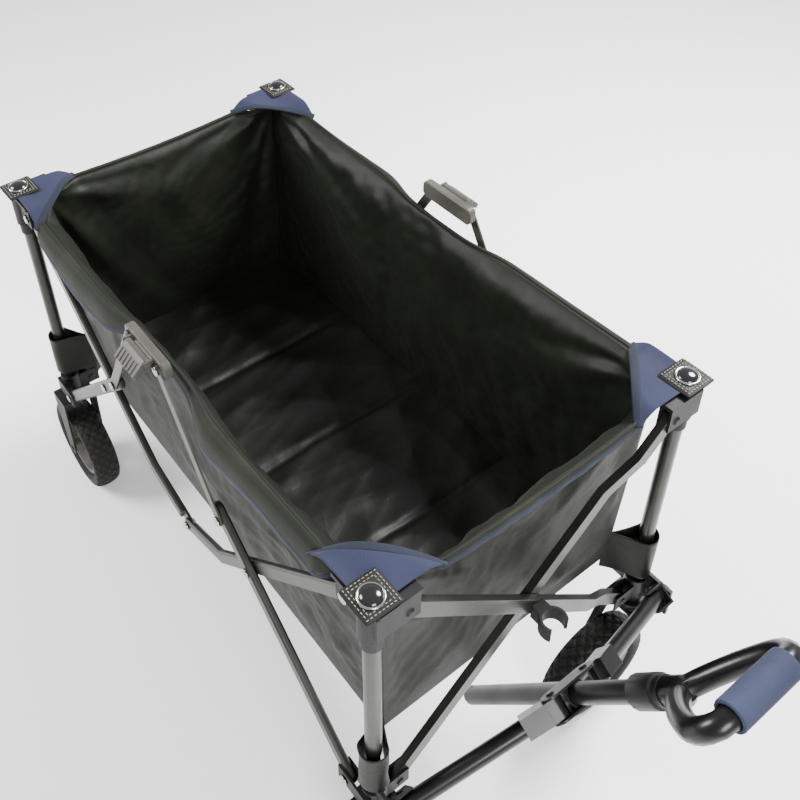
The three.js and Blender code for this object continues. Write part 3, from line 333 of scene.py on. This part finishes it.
def eased(node, material, width, sharp=34):
    """A copy of a hard CAD part with its loose triangles merged, its flat facets cleared and its edges eased
    over a width in millimetres, as moulding, bending and coating leave them. It stands for the part on the
    same body. Edges that turn by more than sharp degrees stay edges."""
    source = frame["nodes"][node]
    mesh = bpy.data.meshes.new(node + "_eased")
    bm = bmesh.new()
    bm.from_mesh(source.data)
    bmesh.ops.remove_doubles(bm, verts=bm.verts, dist=2e-6)
    bmesh.ops.dissolve_limit(bm, angle_limit=math.radians(0.6), verts=bm.verts, edges=bm.edges)
    for edge in bm.edges:
        edge.smooth = edge.calc_face_angle(3.14) < math.radians(sharp)
    for face in bm.faces:
        face.smooth = True
    bm.to_mesh(mesh)
    bm.free()
    mesh.materials.append(material)
    piece = bpy.data.objects.new(node + "_eased", mesh)
    bpy.context.collection.objects.link(piece)
    ease = piece.modifiers.new("eased_edges", "BEVEL")
    ease.width = width * MM
    ease.segments = 2
    ease.limit_method = "ANGLE"
    ease.angle_limit = math.radians(sharp)
    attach(piece, BODY_OF[node])
    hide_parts(node)
    return piece


# ---------------------------------------------------------------- hard parts

UPWARD = (0, 0, 1)
CORNERS = {"front_right": (1, -1), "front_left": (1, 1), "rear_right": (-1, -1), "rear_left": (-1, 1)}
for corner in CORNERS:
    eased(corner + "_cap", moulded_black, 0.8)
    eased(corner + "_hub", moulded_black, 0.7)
    eased(corner + "_upper_post", gunmetal, 0.2)
    eased(corner + "_lower_post", gunmetal, 0.2)
    eased(corner + "_rim", rim_grey, 0.8)
for corner in ("front_right", "front_left"):
    eased(corner + "_caster_fork", satin_black, 0.5)
for side in ("right", "left"):
    for end in ("front", "rear"):
        eased(f"{side}_{end}_strut", coated_steel, 0.4)
        eased(f"{side}_{end}_tie", coated_steel, 0.4)
        eased(f"{side}_{end}_latch_link", zinc_strip, 0.3)
    eased(side + "_latch_housing", rim_grey, 0.8)
    eased(side + "_latch_lever", rim_grey, 0.7)
    eased(side + "_yoke", satin_black, 0.5)
    eased(side + "_drawbar_half", gloss_black, 0.5)
for end in ("front", "rear"):
    for side in ("right", "left"):
        eased(f"{end}_cross_bar_{side}", coated_steel, 0.4)
eased("handle_clip", moulded_black, 0.5)
eased("drawbar_bracket", satin_black, 0.4)
eased("handle_outer_tube", satin_black, 0.2)
eased("handle_inner_tube", gunmetal, 0.2)
eased("handle_twist_lock", moulded_black, 0.8)
eased("handle_loop", gloss_black, 0.2, sharp=50)
foam = eased("handle_foam_grip", foam_navy, 1.2, sharp=50)


TYRE_BEAD_R = 0.0592
TREAD_BLOCKS = 28
TREAD_DEPTH = 0.0026


def tyre(corner):
    """Torus-like tyre: a superellipse section, squarer across the tread, carried round the axle. Diamond
    blocks: two families of slanting grooves cross, and the tread sinks wherever either is close. t runs
    round the axle and p round the section."""
    low, high = (np.array(v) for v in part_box(corner + "_tyre"))
    centre = (low + high) / 2
    axis = np.zeros(3)
    axis[int(np.argmin(high - low))] = 1
    half = float((high - low).min() / 2)
    outer = float((high - low)[2] / 2)
    inner = TYRE_BEAD_R
    t = np.linspace(0, 2 * np.pi, 420, endpoint=False)[:, None]
    p = np.linspace(0, 2 * np.pi, 56, endpoint=False)[None, :]
    c, s = np.cos(p), np.sin(p)
    mid, rise = (outer + inner) / 2, (outer - inner) / 2
    wide = half * 0.98 * np.sign(c) * np.abs(c) ** 0.8
    out = mid + rise * np.sign(s) * np.abs(s) ** 0.72
    w = wide / half
    lap = t * TREAD_BLOCKS / (2 * np.pi)
    one_way = np.abs((lap + w * 1.5) % 1 - 0.5)
    other_way = np.abs((lap - w * 1.5) % 1 - 0.5)
    groove = np.minimum(one_way, other_way)
    block = np.clip((groove - 0.07) / 0.09, 0, 1)
    tread = np.clip((out - mid - 0.35 * rise) / (0.3 * rise), 0, 1)
    out = out - TREAD_DEPTH * tread * (1 - block)
    wide = np.broadcast_to(wide, out.shape) * (1 - 0.05 * tread * (1 - block))
    side = np.array([0, 0, 1.0])
    other = np.cross(axis, side)
    radial = np.cos(t)[..., None] * side + np.sin(t)[..., None] * other
    points = centre + out[..., None] * radial + wide[..., None] * axis
    piece = turned_outwards(surface(corner + "_treaded_tyre", points, tyre_rubber, True, True))
    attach(piece, corner + "_wheel")
    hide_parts(corner + "_tyre")


for corner in CORNERS:
    tyre(corner)

# ---------------------------------------------------------------- sewn tub

tub_low, tub_high = (np.array(v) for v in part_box("fabric_tub"))
MID_X = float(tub_low[0] + tub_high[0]) / 2
TOP = float(tub_high[2]) + 0.005
FLOOR_Z = float(tub_low[2]) + 0.003
HALF_TOP = np.array([float(tub_high[0] - tub_low[0]) / 2 - 0.003, float(tub_high[1]) - 0.003])
HALF_FOOT = HALF_TOP - (0.009, 0.011)
POST_X, POST_Y = 0.42, 0.228
# what is left of the tub's length and width once the frame is folded
FOLD_KEEP_X, FOLD_KEEP_Y = 0.402, 0.372
CLOTH_CELL = 0.0036  # the grid of a wall, fine enough for its creases
HEM_ROWS = 12


def smooth_step(x):
    """A ramp from 0 to 1 with level ends: three x squared less two x cubed."""
    return x * x * (3 - 2 * x)


def creases(a, h, length, height, seed):
    """Out-of-plane rise of a hung panel at a metres along and h metres up. Long folds fan out from the two
    top corners, where the cloth is hung. Crumples, as triangle waves whose crests are barely rounded, cross
    it where it was packed. All of it fades out towards the seams."""
    rng = np.random.default_rng(seed)
    rise = np.zeros(np.broadcast(a, h).shape)
    for x0 in (0.0, length):
        dx, dy = np.abs(a - x0), height - h
        r = np.hypot(dx, dy) + 1e-4
        angle = np.arctan2(dy, dx)
        fan = np.sin(angle * 11 + 1.3 * np.sin(angle * 5 + seed) + seed)
        rise += 0.0055 * fan * smooth_step(np.clip(r / 0.09, 0, 1)) * np.exp(-r / 0.19)
    for _ in range(17):
        way = rng.uniform(0, np.pi)
        step = 0.035 * 6 ** rng.uniform(0, 1)
        u = (a * np.cos(way) + h * np.sin(way)) / step
        v = (-a * np.sin(way) + h * np.cos(way)) / (step * 2.2)
        wander = u + 0.45 * np.sin(2.1 * v + rng.uniform(0, 6)) + rng.uniform(0, 6)
        crest = np.sqrt((2 * np.abs(wander % 1 - 0.5) - 0.5) ** 2 + 0.004)
        ridge = crest + 2 * np.abs(wander * 0.5 % 1 - 0.5)
        where = 0.5 + 0.5 * np.sin(v * 1.7 + rng.uniform(0, 6)) * np.sin(0.6 * u + rng.uniform(0, 6))
        rise += 0.030 * step * (ridge - 0.7) * where ** 1.3
    at_ends = smooth_step(np.clip(np.minimum(a, length - a) / 0.03, 0, 1))
    at_top = smooth_step(np.clip((height - h) / 0.02, 0, 1))
    at_foot = smooth_step(np.clip((h - 0.008) / 0.05, 0, 1))
    return rise * at_ends * at_top * at_foot


def wall(name, across, sign, seed):
    """A tub wall, hung between two corners. Ruled between its foot line and its slightly sagging top line,
    bellied a few millimetres by its own slackness, plus its creases. Its top flares out to the rim, less so
    over the latch. u runs along, v runs up. Gives the piece, its top line and its flat size."""
    n = 1 - across
    length = 2 * HALF_TOP[across]
    height = TOP - FLOOR_Z
    nu, nv = int(length / CLOTH_CELL), int(height / CLOTH_CELL)
    u = np.linspace(0, 1, nu)[:, None]
    v = np.linspace(0, 1, nv)[None, :]
    reach = HALF_FOOT[across] + (HALF_TOP[across] - HALF_FOOT[across]) * v
    out = HALF_FOOT[n] + (HALF_TOP[n] - HALF_FOOT[n]) * v
    sag = 0.010 * np.sin(np.pi * u) ** 0.8 * v
    from_end = np.minimum(u, 1 - u) * length
    latch = np.exp(-(((2 * u - 1) * HALF_TOP[0]) / 0.10) ** 4) if across == 0 else 0
    flare = (0.024 if across == 0 else 0.021) * v ** 20 * (1 - 0.5 * latch)
    out = out + flare * smooth_step(np.clip((from_end - 0.030) / 0.035, 0, 1))
    belly = -0.006 * np.sin(np.pi * u) * np.sin(np.pi * v)
    rise = creases(u * length, v * height, length, height, seed)
    points = np.zeros((nu, nv, 3))
    points[..., across] = (2 * u - 1) * reach
    points[..., n] = sign * (out + belly + rise)
    points[..., 0] += MID_X
    points[..., 2] = FLOOR_Z + (height - sag / np.maximum(v, 0.05)) * v
    piece = surface(name, points, canvas, thick=0.0011)
    return piece, points[:, -1], (length, height)


def fold_with(piece, body):
    """Puts a sewn piece on a body and gives it a mesh of its own."""
    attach(piece, body)
    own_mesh(piece)


FRONT_ANCHOR = (MID_X + POST_X, 0, 0)
RIGHT_ANCHOR = (0, -POST_Y, 0)
# across, sign, seed, body, then the fold's axis, its anchor and what is kept
WALLS = {
    "right_wall": (0, -1, 3, "front_right_corner", (1, 0, 0), FRONT_ANCHOR, FOLD_KEEP_X),
    "left_wall": (0, 1, 11, "front_left_corner", (1, 0, 0), FRONT_ANCHOR, FOLD_KEEP_X),
    "front_wall": (1, 1, 23, "front_right_corner", (0, 1, 0), RIGHT_ANCHOR, FOLD_KEEP_Y),
    "rear_wall": (1, -1, 31, "rear_right_corner", (0, 1, 0), RIGHT_ANCHOR, FOLD_KEEP_Y),
}
# what each wall hangs from
for name, (across, sign, seed, body, axis, anchor, keep) in WALLS.items():
    piece, rim, (length, height) = wall(name, across, sign, seed)
    fold_with(piece, body)
    if name == "right_wall":
        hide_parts("fabric_tub")
    n = 1 - across
    a = np.linspace(0, 1, len(rim))
    # hem: the top edge rolled outwards and bound. w runs from the rim to its bound edge, which lies drop
    # below and swing outside the rim. On the long sides it is a narrow valance that lifts over the latch
    ends = np.sin(np.pi * a) ** 0.14
    if across == 0:
        lift = np.exp(-((rim[:, 0] - MID_X) / 0.10) ** 4)
        drop = (0.036 + 0.007 * np.sin(a * 19 + seed)) * ends * (1 - 0.72 * lift)
        swing = (0.016 + 0.003 * np.sin(a * 13 + 2 * seed)) * ends * (1 - 0.62 * lift)
    else:
        drop = 0.006 * ends
        swing = 0.005 * ends
    w = np.linspace(0, 1, HEM_ROWS)[None, :]
    crest = np.sin(np.pi * w) * 0.004
    hem = np.repeat(rim[:, None], HEM_ROWS, 1)
    hem[..., n] += sign * swing[:, None] * np.sin(w * np.pi / 2)
    hem[..., 2] += crest - drop[:, None] * (1 - np.cos(w * np.pi / 2))
    hem[..., n] += sign * 0.0005 * np.sin(a * 61)[:, None] * w * np.sin(np.pi * a)[:, None]
    valance = surface(name + "_hem", hem, hem_canvas, thick=0.0016)
    fold_with(valance, body)
    edge = hem[2:-2:3, -1]
    wide = edge - hem[2:-2:3, -3]
    tape = swept(name + "_binding", edge, 0.0052, 0.0014, wide, binding_tape, power=3.0)
    fold_with(tape, body)


def floor_half(name, side, body):
    """Half of the floor mat: four stiff panels along the wagon, each a shallow pillow, with a sewn channel
    pressed in between neighbours and soft crumples over all. The halves meet on the middle line."""
    nu, nv = 230, 62
    u = np.linspace(-1, 1, nu)[:, None]
    v = np.linspace(0, 1, nv)[None, :]
    x = u * HALF_FOOT[0] + 0 * v
    y = side * v * HALF_FOOT[1]
    panel = (u + 1) * 2 % 1
    channel = np.exp(-(np.minimum(panel, 1 - panel) / 0.035) ** 2) * (np.abs(u) < 0.97)
    pillow = 0.002 * np.sin(np.pi * panel) ** 0.6 * np.cos(np.pi * v / 2) ** 0.3
    rng = np.random.default_rng(8)
    soft = np.zeros((nu, nv))
    for _ in range(10):
        way, step = rng.uniform(0, np.pi), rng.uniform(0.05, 0.15)
        bend = 0.5 * np.sin(5 * x / step * 0.2 + 4 * y + rng.uniform(0, 6))
        wander = (x * np.cos(way) + y * np.sin(way)) / step + bend
        soft += 0.016 * step * (1 - np.sqrt(np.sin(np.pi * wander + rng.uniform(0, 6)) ** 2 + 0.006))
    z = FLOOR_Z + 0.0095 + pillow - 0.0035 * channel + soft
    piece = surface(name, np.stack(np.broadcast_arrays(MID_X + x, y, z), -1), floor_canvas)
    fold_with(piece, body)
    return piece


mat = floor_half("floor_mat_right", -1, "front_right_corner")
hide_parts("floor_mat")
floor_half("floor_mat_left", 1, "front_left_corner")

# ---------------------------------------------------------------- sewn corners

PATCH_HALF = 0.0225
STITCH_PITCH = 0.0046


def sewn_gusset(corner, body, sx, sy, px, py, top):
    """A three-cornered web from the post's outer side to points 90 mm along each hem: each of its points is a
    share s of the way to the line between the two, t along it. That inner edge is slightly hollow. It climbs
    from the hem to the cap's plate near the post."""
    plate = top + 0.0048
    rest = TOP + 0.003
    s = np.linspace(0.02, 1, 48)[:, None]
    t = np.linspace(0, 1, 56)[None, :]
    ox, oy = px + sx * 0.010, py + sy * 0.010
    tip_x = np.array([px - sx * 0.088 - ox, sy * 0.240 - oy])
    tip_y = np.array([MID_X + sx * 0.428 - ox, py - sy * 0.088 - oy])
    hollow = 1 + 0.03 * np.sin(np.pi * t) * s
    gx = s * hollow * ((1 - t) * tip_x[0] + t * tip_y[0])
    gy = s * hollow * ((1 - t) * tip_x[1] + t * tip_y[1])
    away = smooth_step(np.clip((np.hypot(gx, gy) - 0.070) / 0.03, 0, 1))
    droop = 0.012 * s ** 8 * (1 - t) ** 6 + 0.008 * s ** 8 * t ** 6
    slack = 0.0012 * np.sin(9 * t + 3 * s + sx) * s - 0.003 * s * np.sin(np.pi * t)
    gz = plate * (1 - away) + rest * away - droop + slack
    web = np.stack([ox + gx, oy + gy, gz], -1)
    gusset = turned_outwards(surface(corner + "_gusset", web, navy_cloth))
    doubled = gusset.modifiers.new("cloth_thickness", "SOLIDIFY")
    doubled.thickness = 0.0016
    doubled.offset = 0
    inward = web[-1] - web[-4]
    tape = swept(corner + "_gusset_binding", web[-1], 0.0055, 0.0016, inward, binding_tape, power=3.0)
    for piece in (gusset, tape):
        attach(piece, body)


def stitched_patch(corner, body, mid_x, mid_y, top):
    """A rounded square centred on (mid_x, mid_y), slightly crowned and turned down at its rim, over the cap's
    plate, with two rows of stitches sewn round it."""
    g = np.linspace(-1, 1, 41)
    qx, qy = np.meshgrid(g, g, indexing="ij")
    rounded = PATCH_HALF * np.sqrt(np.clip(1 - 0.06 * (qx * qy) ** 4, 0, 1))
    crown = top + 0.0070 - 0.0022 * np.maximum(np.abs(qx), np.abs(qy)) ** 6
    points = np.stack([mid_x + rounded * qx, mid_y + rounded * qy, crown], -1)
    patch = surface(corner + "_patch", points, leatherette, thick=0.0018)
    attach(patch, body)
    sewn = stitches(corner, mid_x, mid_y, top + 0.0080)
    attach(sewn, body)


def stitch_row(r):
    """Stitches evenly spaced round a square of half side r: their places, and 1 where they lie along X."""
    count = int(8 * r / STITCH_PITCH)
    round_it = (np.arange(count) / count) * 8
    side = (round_it // 2).astype(int)
    f = round_it % 2 - 1
    x = np.choose(side, [f * r, np.full_like(f, r), -f * r, np.full_like(f, -r)])
    y = np.choose(side, [np.full_like(f, -r), f * r, np.full_like(f, r), -f * r])
    return np.stack([x, y, np.choose(side % 2, [1.0, 0.0])], -1)


def stitches(corner, x, y, z):
    """Two rows of stitches round a patch centred on (x, y), each a small bean of thread: a circle whose
    radius follows the root of one less the square of the place along the stitch."""
    spots = np.concatenate([stitch_row(PATCH_HALF - inset) for inset in (0.0036, 0.0072)])
    rows, turns = 5, 8
    th = np.linspace(0, 2 * np.pi, turns, endpoint=False)[None, :]
    ph = np.linspace(-1, 1, rows)[:, None]
    girth = 0.00045 * np.sqrt(1.02 - ph ** 2)
    bean = np.stack([0.0016 * ph + 0 * th, girth * np.cos(th), girth * np.sin(th)], -1)
    lain = np.where(spots[:, None, None, 2:] > 0.5, bean[None], bean[None][..., [1, 0, 2]])
    centres = np.stack([x + spots[:, 0], y + spots[:, 1], 0 * spots[:, 0] + z], -1)
    lain = lain + centres[:, None, None, :]
    i, j = np.meshgrid(np.arange(rows - 1), np.arange(turns), indexing="ij")
    j2 = (j + 1) % turns
    cells = [i * turns + j, (i + 1) * turns + j, (i + 1) * turns + j2, i * turns + j2]
    quads = np.stack(cells, -1).reshape(-1, 4)
    starts = (np.arange(len(spots)) * rows * turns)[:, None, None]
    mesh = bpy.data.meshes.new(corner + "_stitches")
    mesh.from_pydata(lain.reshape(-1, 3).tolist(), [], (quads[None] + starts).reshape(-1, 4).tolist())
    mesh.materials.append(thread_mat)
    sewn = bpy.data.objects.new(corner + "_stitches", mesh)
    bpy.context.collection.objects.link(sewn)
    return turned_outwards(sewn)


def dome_stud(corner, body, centre):
    """A plated ring and a polished dome over the post's end. The dome is a quarter of an ellipse, turned."""
    rim = [(0.0122, 0), (0.0146, 0), (0.0150, 0.0012), (0.0142, 0.0025)]
    rim += [(0.0130, 0.0028), (0.0122, 0.0020), (0.0122, 0)]
    q = np.linspace(0, math.pi / 2, 9)
    arc = np.stack([0.0126 * np.cos(q), 0.0008 + 0.0062 * np.sin(q)], -1)
    ring = revolved(corner + "_dome_ring", rim, UPWARD, centre, nickel)
    dome = revolved(corner + "_dome", np.vstack([(0, 0), arc]), UPWARD, centre, dome_black)
    for part in (ring, dome):
        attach(part, body)


for corner, (sx, sy) in CORNERS.items():
    body = corner + "_cap"
    low, high = (np.array(v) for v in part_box(body))
    px, py = MID_X + sx * POST_X, sy * POST_Y
    top = float(high[2]) - 0.008
    sewn_gusset(corner, body, sx, sy, px, py, top)
    stitched_patch(corner, body, px - sx * MM, py - sy * MM, top)
    dome_stud(corner, body, (px, py, top + 0.0076))


POCKET_HIGH = 0.075
POCKET_DROP = 0.026  # how far a pocket hangs below the tub's foot


def post_pocket(corner, sx, sy):
    """Pocket at the tub's foot that slips over a corner post: a band that leaves the tub's corner, rounds the
    post and comes back, its two ends flattened together. Straight down, with a slightly flared mouth.
    t runs along the band and h up it; the first and last 36 hundredths are its straight runs."""
    nt, nh = 72, 26
    t = np.linspace(0, 1, nt)[:, None]
    h = np.linspace(0, 1, nh)[None, :]
    from_tub = np.array([HALF_FOOT[0] - 0.004, HALF_FOOT[1] - 0.004])
    post = np.array([POST_X, POST_Y])
    reach = np.linalg.norm(post - from_tub)
    way = (post - from_tub) / reach
    side = np.array([-way[1], way[0]])
    r = 0.0165
    out_run, back_run = t / 0.36 * reach, (1 - t) / 0.36 * reach
    run = np.where(t < 0.36, out_run, np.where(t > 0.64, back_run, reach))
    turn = np.clip((t - 0.36) / 0.28, 0, 1) * np.pi - np.pi / 2
    bulge = np.clip(run / reach, 0, 1) ** 1.5
    along = run + r * np.cos(turn) * (np.abs(turn) < np.pi / 2 - 1e-6)
    off = np.where(t < 0.36, -r * bulge, np.where(t > 0.64, r * bulge, r * np.sin(turn)))
    flare = 1 + 0.10 * (2 * h - 1) ** 2 + 0.05 * np.sin(7 * h + 9 * t)
    xy = from_tub + way * along[..., None] + side * (off * flare)[..., None]
    points = np.zeros((nt, nh, 3))
    points[..., 0] = MID_X + sx * xy[..., 0]
    points[..., 1] = sy * xy[..., 1]
    points[..., 2] = FLOOR_Z - POCKET_DROP + POCKET_HIGH * h
    piece = surface(corner + "_post_pocket", points, canvas, thick=0.0014)
    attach(piece, corner + "_corner")


for corner, (sx, sy) in CORNERS.items():
    post_pocket(corner, sx, sy)

# ---------------------------------------------------------------- rivets

RIVET_R = 0.0066
RIVET_HIGH = 0.0014
NOT_RIVETED = ("wheel", "swivel", "lever", "twist", "pitch")


def head_height(nodes, x, z, sign):
    """How far out, along Y, the solids of some parts reach within a rivet head's radius of (x, z). It is None
    where none of them does."""
    reached = []
    for node in nodes:
        points = frame["nodes"][node].data.vertices
        at = np.empty(3 * len(points), np.float32)
        points.foreach_get("co", at)
        at = at.reshape(-1, 3).astype(float)
        close = at[np.hypot(at[:, 0] - x, at[:, 2] - z) < RIVET_R]
        if len(close):
            reached.append((sign * close[:, 1]).max())
    return max(reached, default=None)


def rivet_head(joint):
    """A plated, low-domed head laid over the outer end of a steel rivet: a quarter of an ellipse, turned,
    on a short cylinder that sinks into the steel."""
    x, y, z = joint["pos_m"]
    sign = -1 if y < 0 else 1
    found = [(head_height(NODES_OF[b], x, z, sign), b) for b in (joint["parent"], joint["child"])]
    found = [f for f in found if f[0] is not None]
    if not found:
        return
    out, body = max(found)
    q = np.linspace(0.2, math.pi / 2, 6)
    dome = np.stack([RIVET_R * np.cos(q), RIVET_HIGH * np.sin(q)], -1)
    profile = np.vstack([(0, -0.0012), (RIVET_R, -0.0012), (RIVET_R + 0.0001, 0.0), dome])
    centre = (x, sign * out, z)
    rivet = revolved(joint["name"] + "_rivet", profile * (1, sign), (0, 1, 0), centre, nickel, turns=28)
    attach(rivet, body)


for joint in frame["record"]["behaviour"]["joints"]:
    across = abs(joint.get("axis", UPWARD)[1]) > 0.9
    if joint["type"] == "hinge" and across and not any(word in joint["name"] for word in NOT_RIVETED):
        rivet_head(joint)

# ---------------------------------------------------------------- studio

bpy.ops.mesh.primitive_plane_add(size=14, location=(0, 0, 0))
ground = bpy.context.object
ground.name = "studio_floor"
# Matt white paper of the studio floor: no gloss, only a soft shadow.
paper, _, paper_shader, _ = finish_of("matt_studio_paper")
paper_shader.inputs["Base Color"].default_value = colour("#fbfbfa")
paper_shader.inputs["Roughness"].default_value = 0.9
ground.data.materials.append(paper)
ground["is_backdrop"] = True

world = bpy.data.worlds.new("studio")
bpy.context.scene.world = world
world.use_nodes = True
sky = world.node_tree.nodes["Background"]
sky.inputs["Color"].default_value = colour("#f6f7fa")
sky.inputs["Strength"].default_value = 0.85


def softbox(name, at, aim, size, power):
    """A round area light of a size in metres and a power in watts, aimed at a point."""
    light = bpy.data.lights.new(name, "AREA")
    light.shape = "DISK"
    light.size = size
    light.energy = power
    lamp = bpy.data.objects.new(name, light)
    bpy.context.collection.objects.link(lamp)
    lamp.location = at
    lamp.rotation_euler = (Vector(aim) - Vector(at)).to_track_quat("-Z", "Y").to_euler()


softbox("key_softbox", (0.2, 1.7, 2.3), (0, 0, 0.4), 1.0, 230)
softbox("side_softbox", (-1.6, -1.7, 1.9), (0, 0, 0.4), 1.2, 110)
softbox("front_softbox", (2.1, -0.7, 1.5), (0.3, 0, 0.4), 1.0, 60)

# the camera: its bearing, its height over the floor and its roll, then its axes
az, el, roll = (math.radians(v) for v in (-35.05, 38.25, -2.22))
back = np.array([math.cos(az) * math.cos(el), math.sin(az) * math.cos(el), math.sin(el)])
right = np.cross(-back, (0, 0, 1))
right /= np.linalg.norm(right)
down = np.cross(-back, right)
rolled_right = math.cos(roll) * right - math.sin(roll) * down
rolled_down = math.sin(roll) * right + math.cos(roll) * down
turn = Matrix((rolled_right, -rolled_down, back)).transposed().to_4x4()
lens = bpy.data.cameras.new("camera")
lens.lens = 45.86
lens.sensor_width = 36
lens.shift_x = 0.079
lens.shift_y = -0.21
camera = bpy.data.objects.new("camera", lens)
bpy.context.collection.objects.link(camera)
camera.matrix_world = Matrix.Translation((0.7475, -0.5514, 1.5075)) @ turn
bpy.context.scene.camera = camera

low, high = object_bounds()
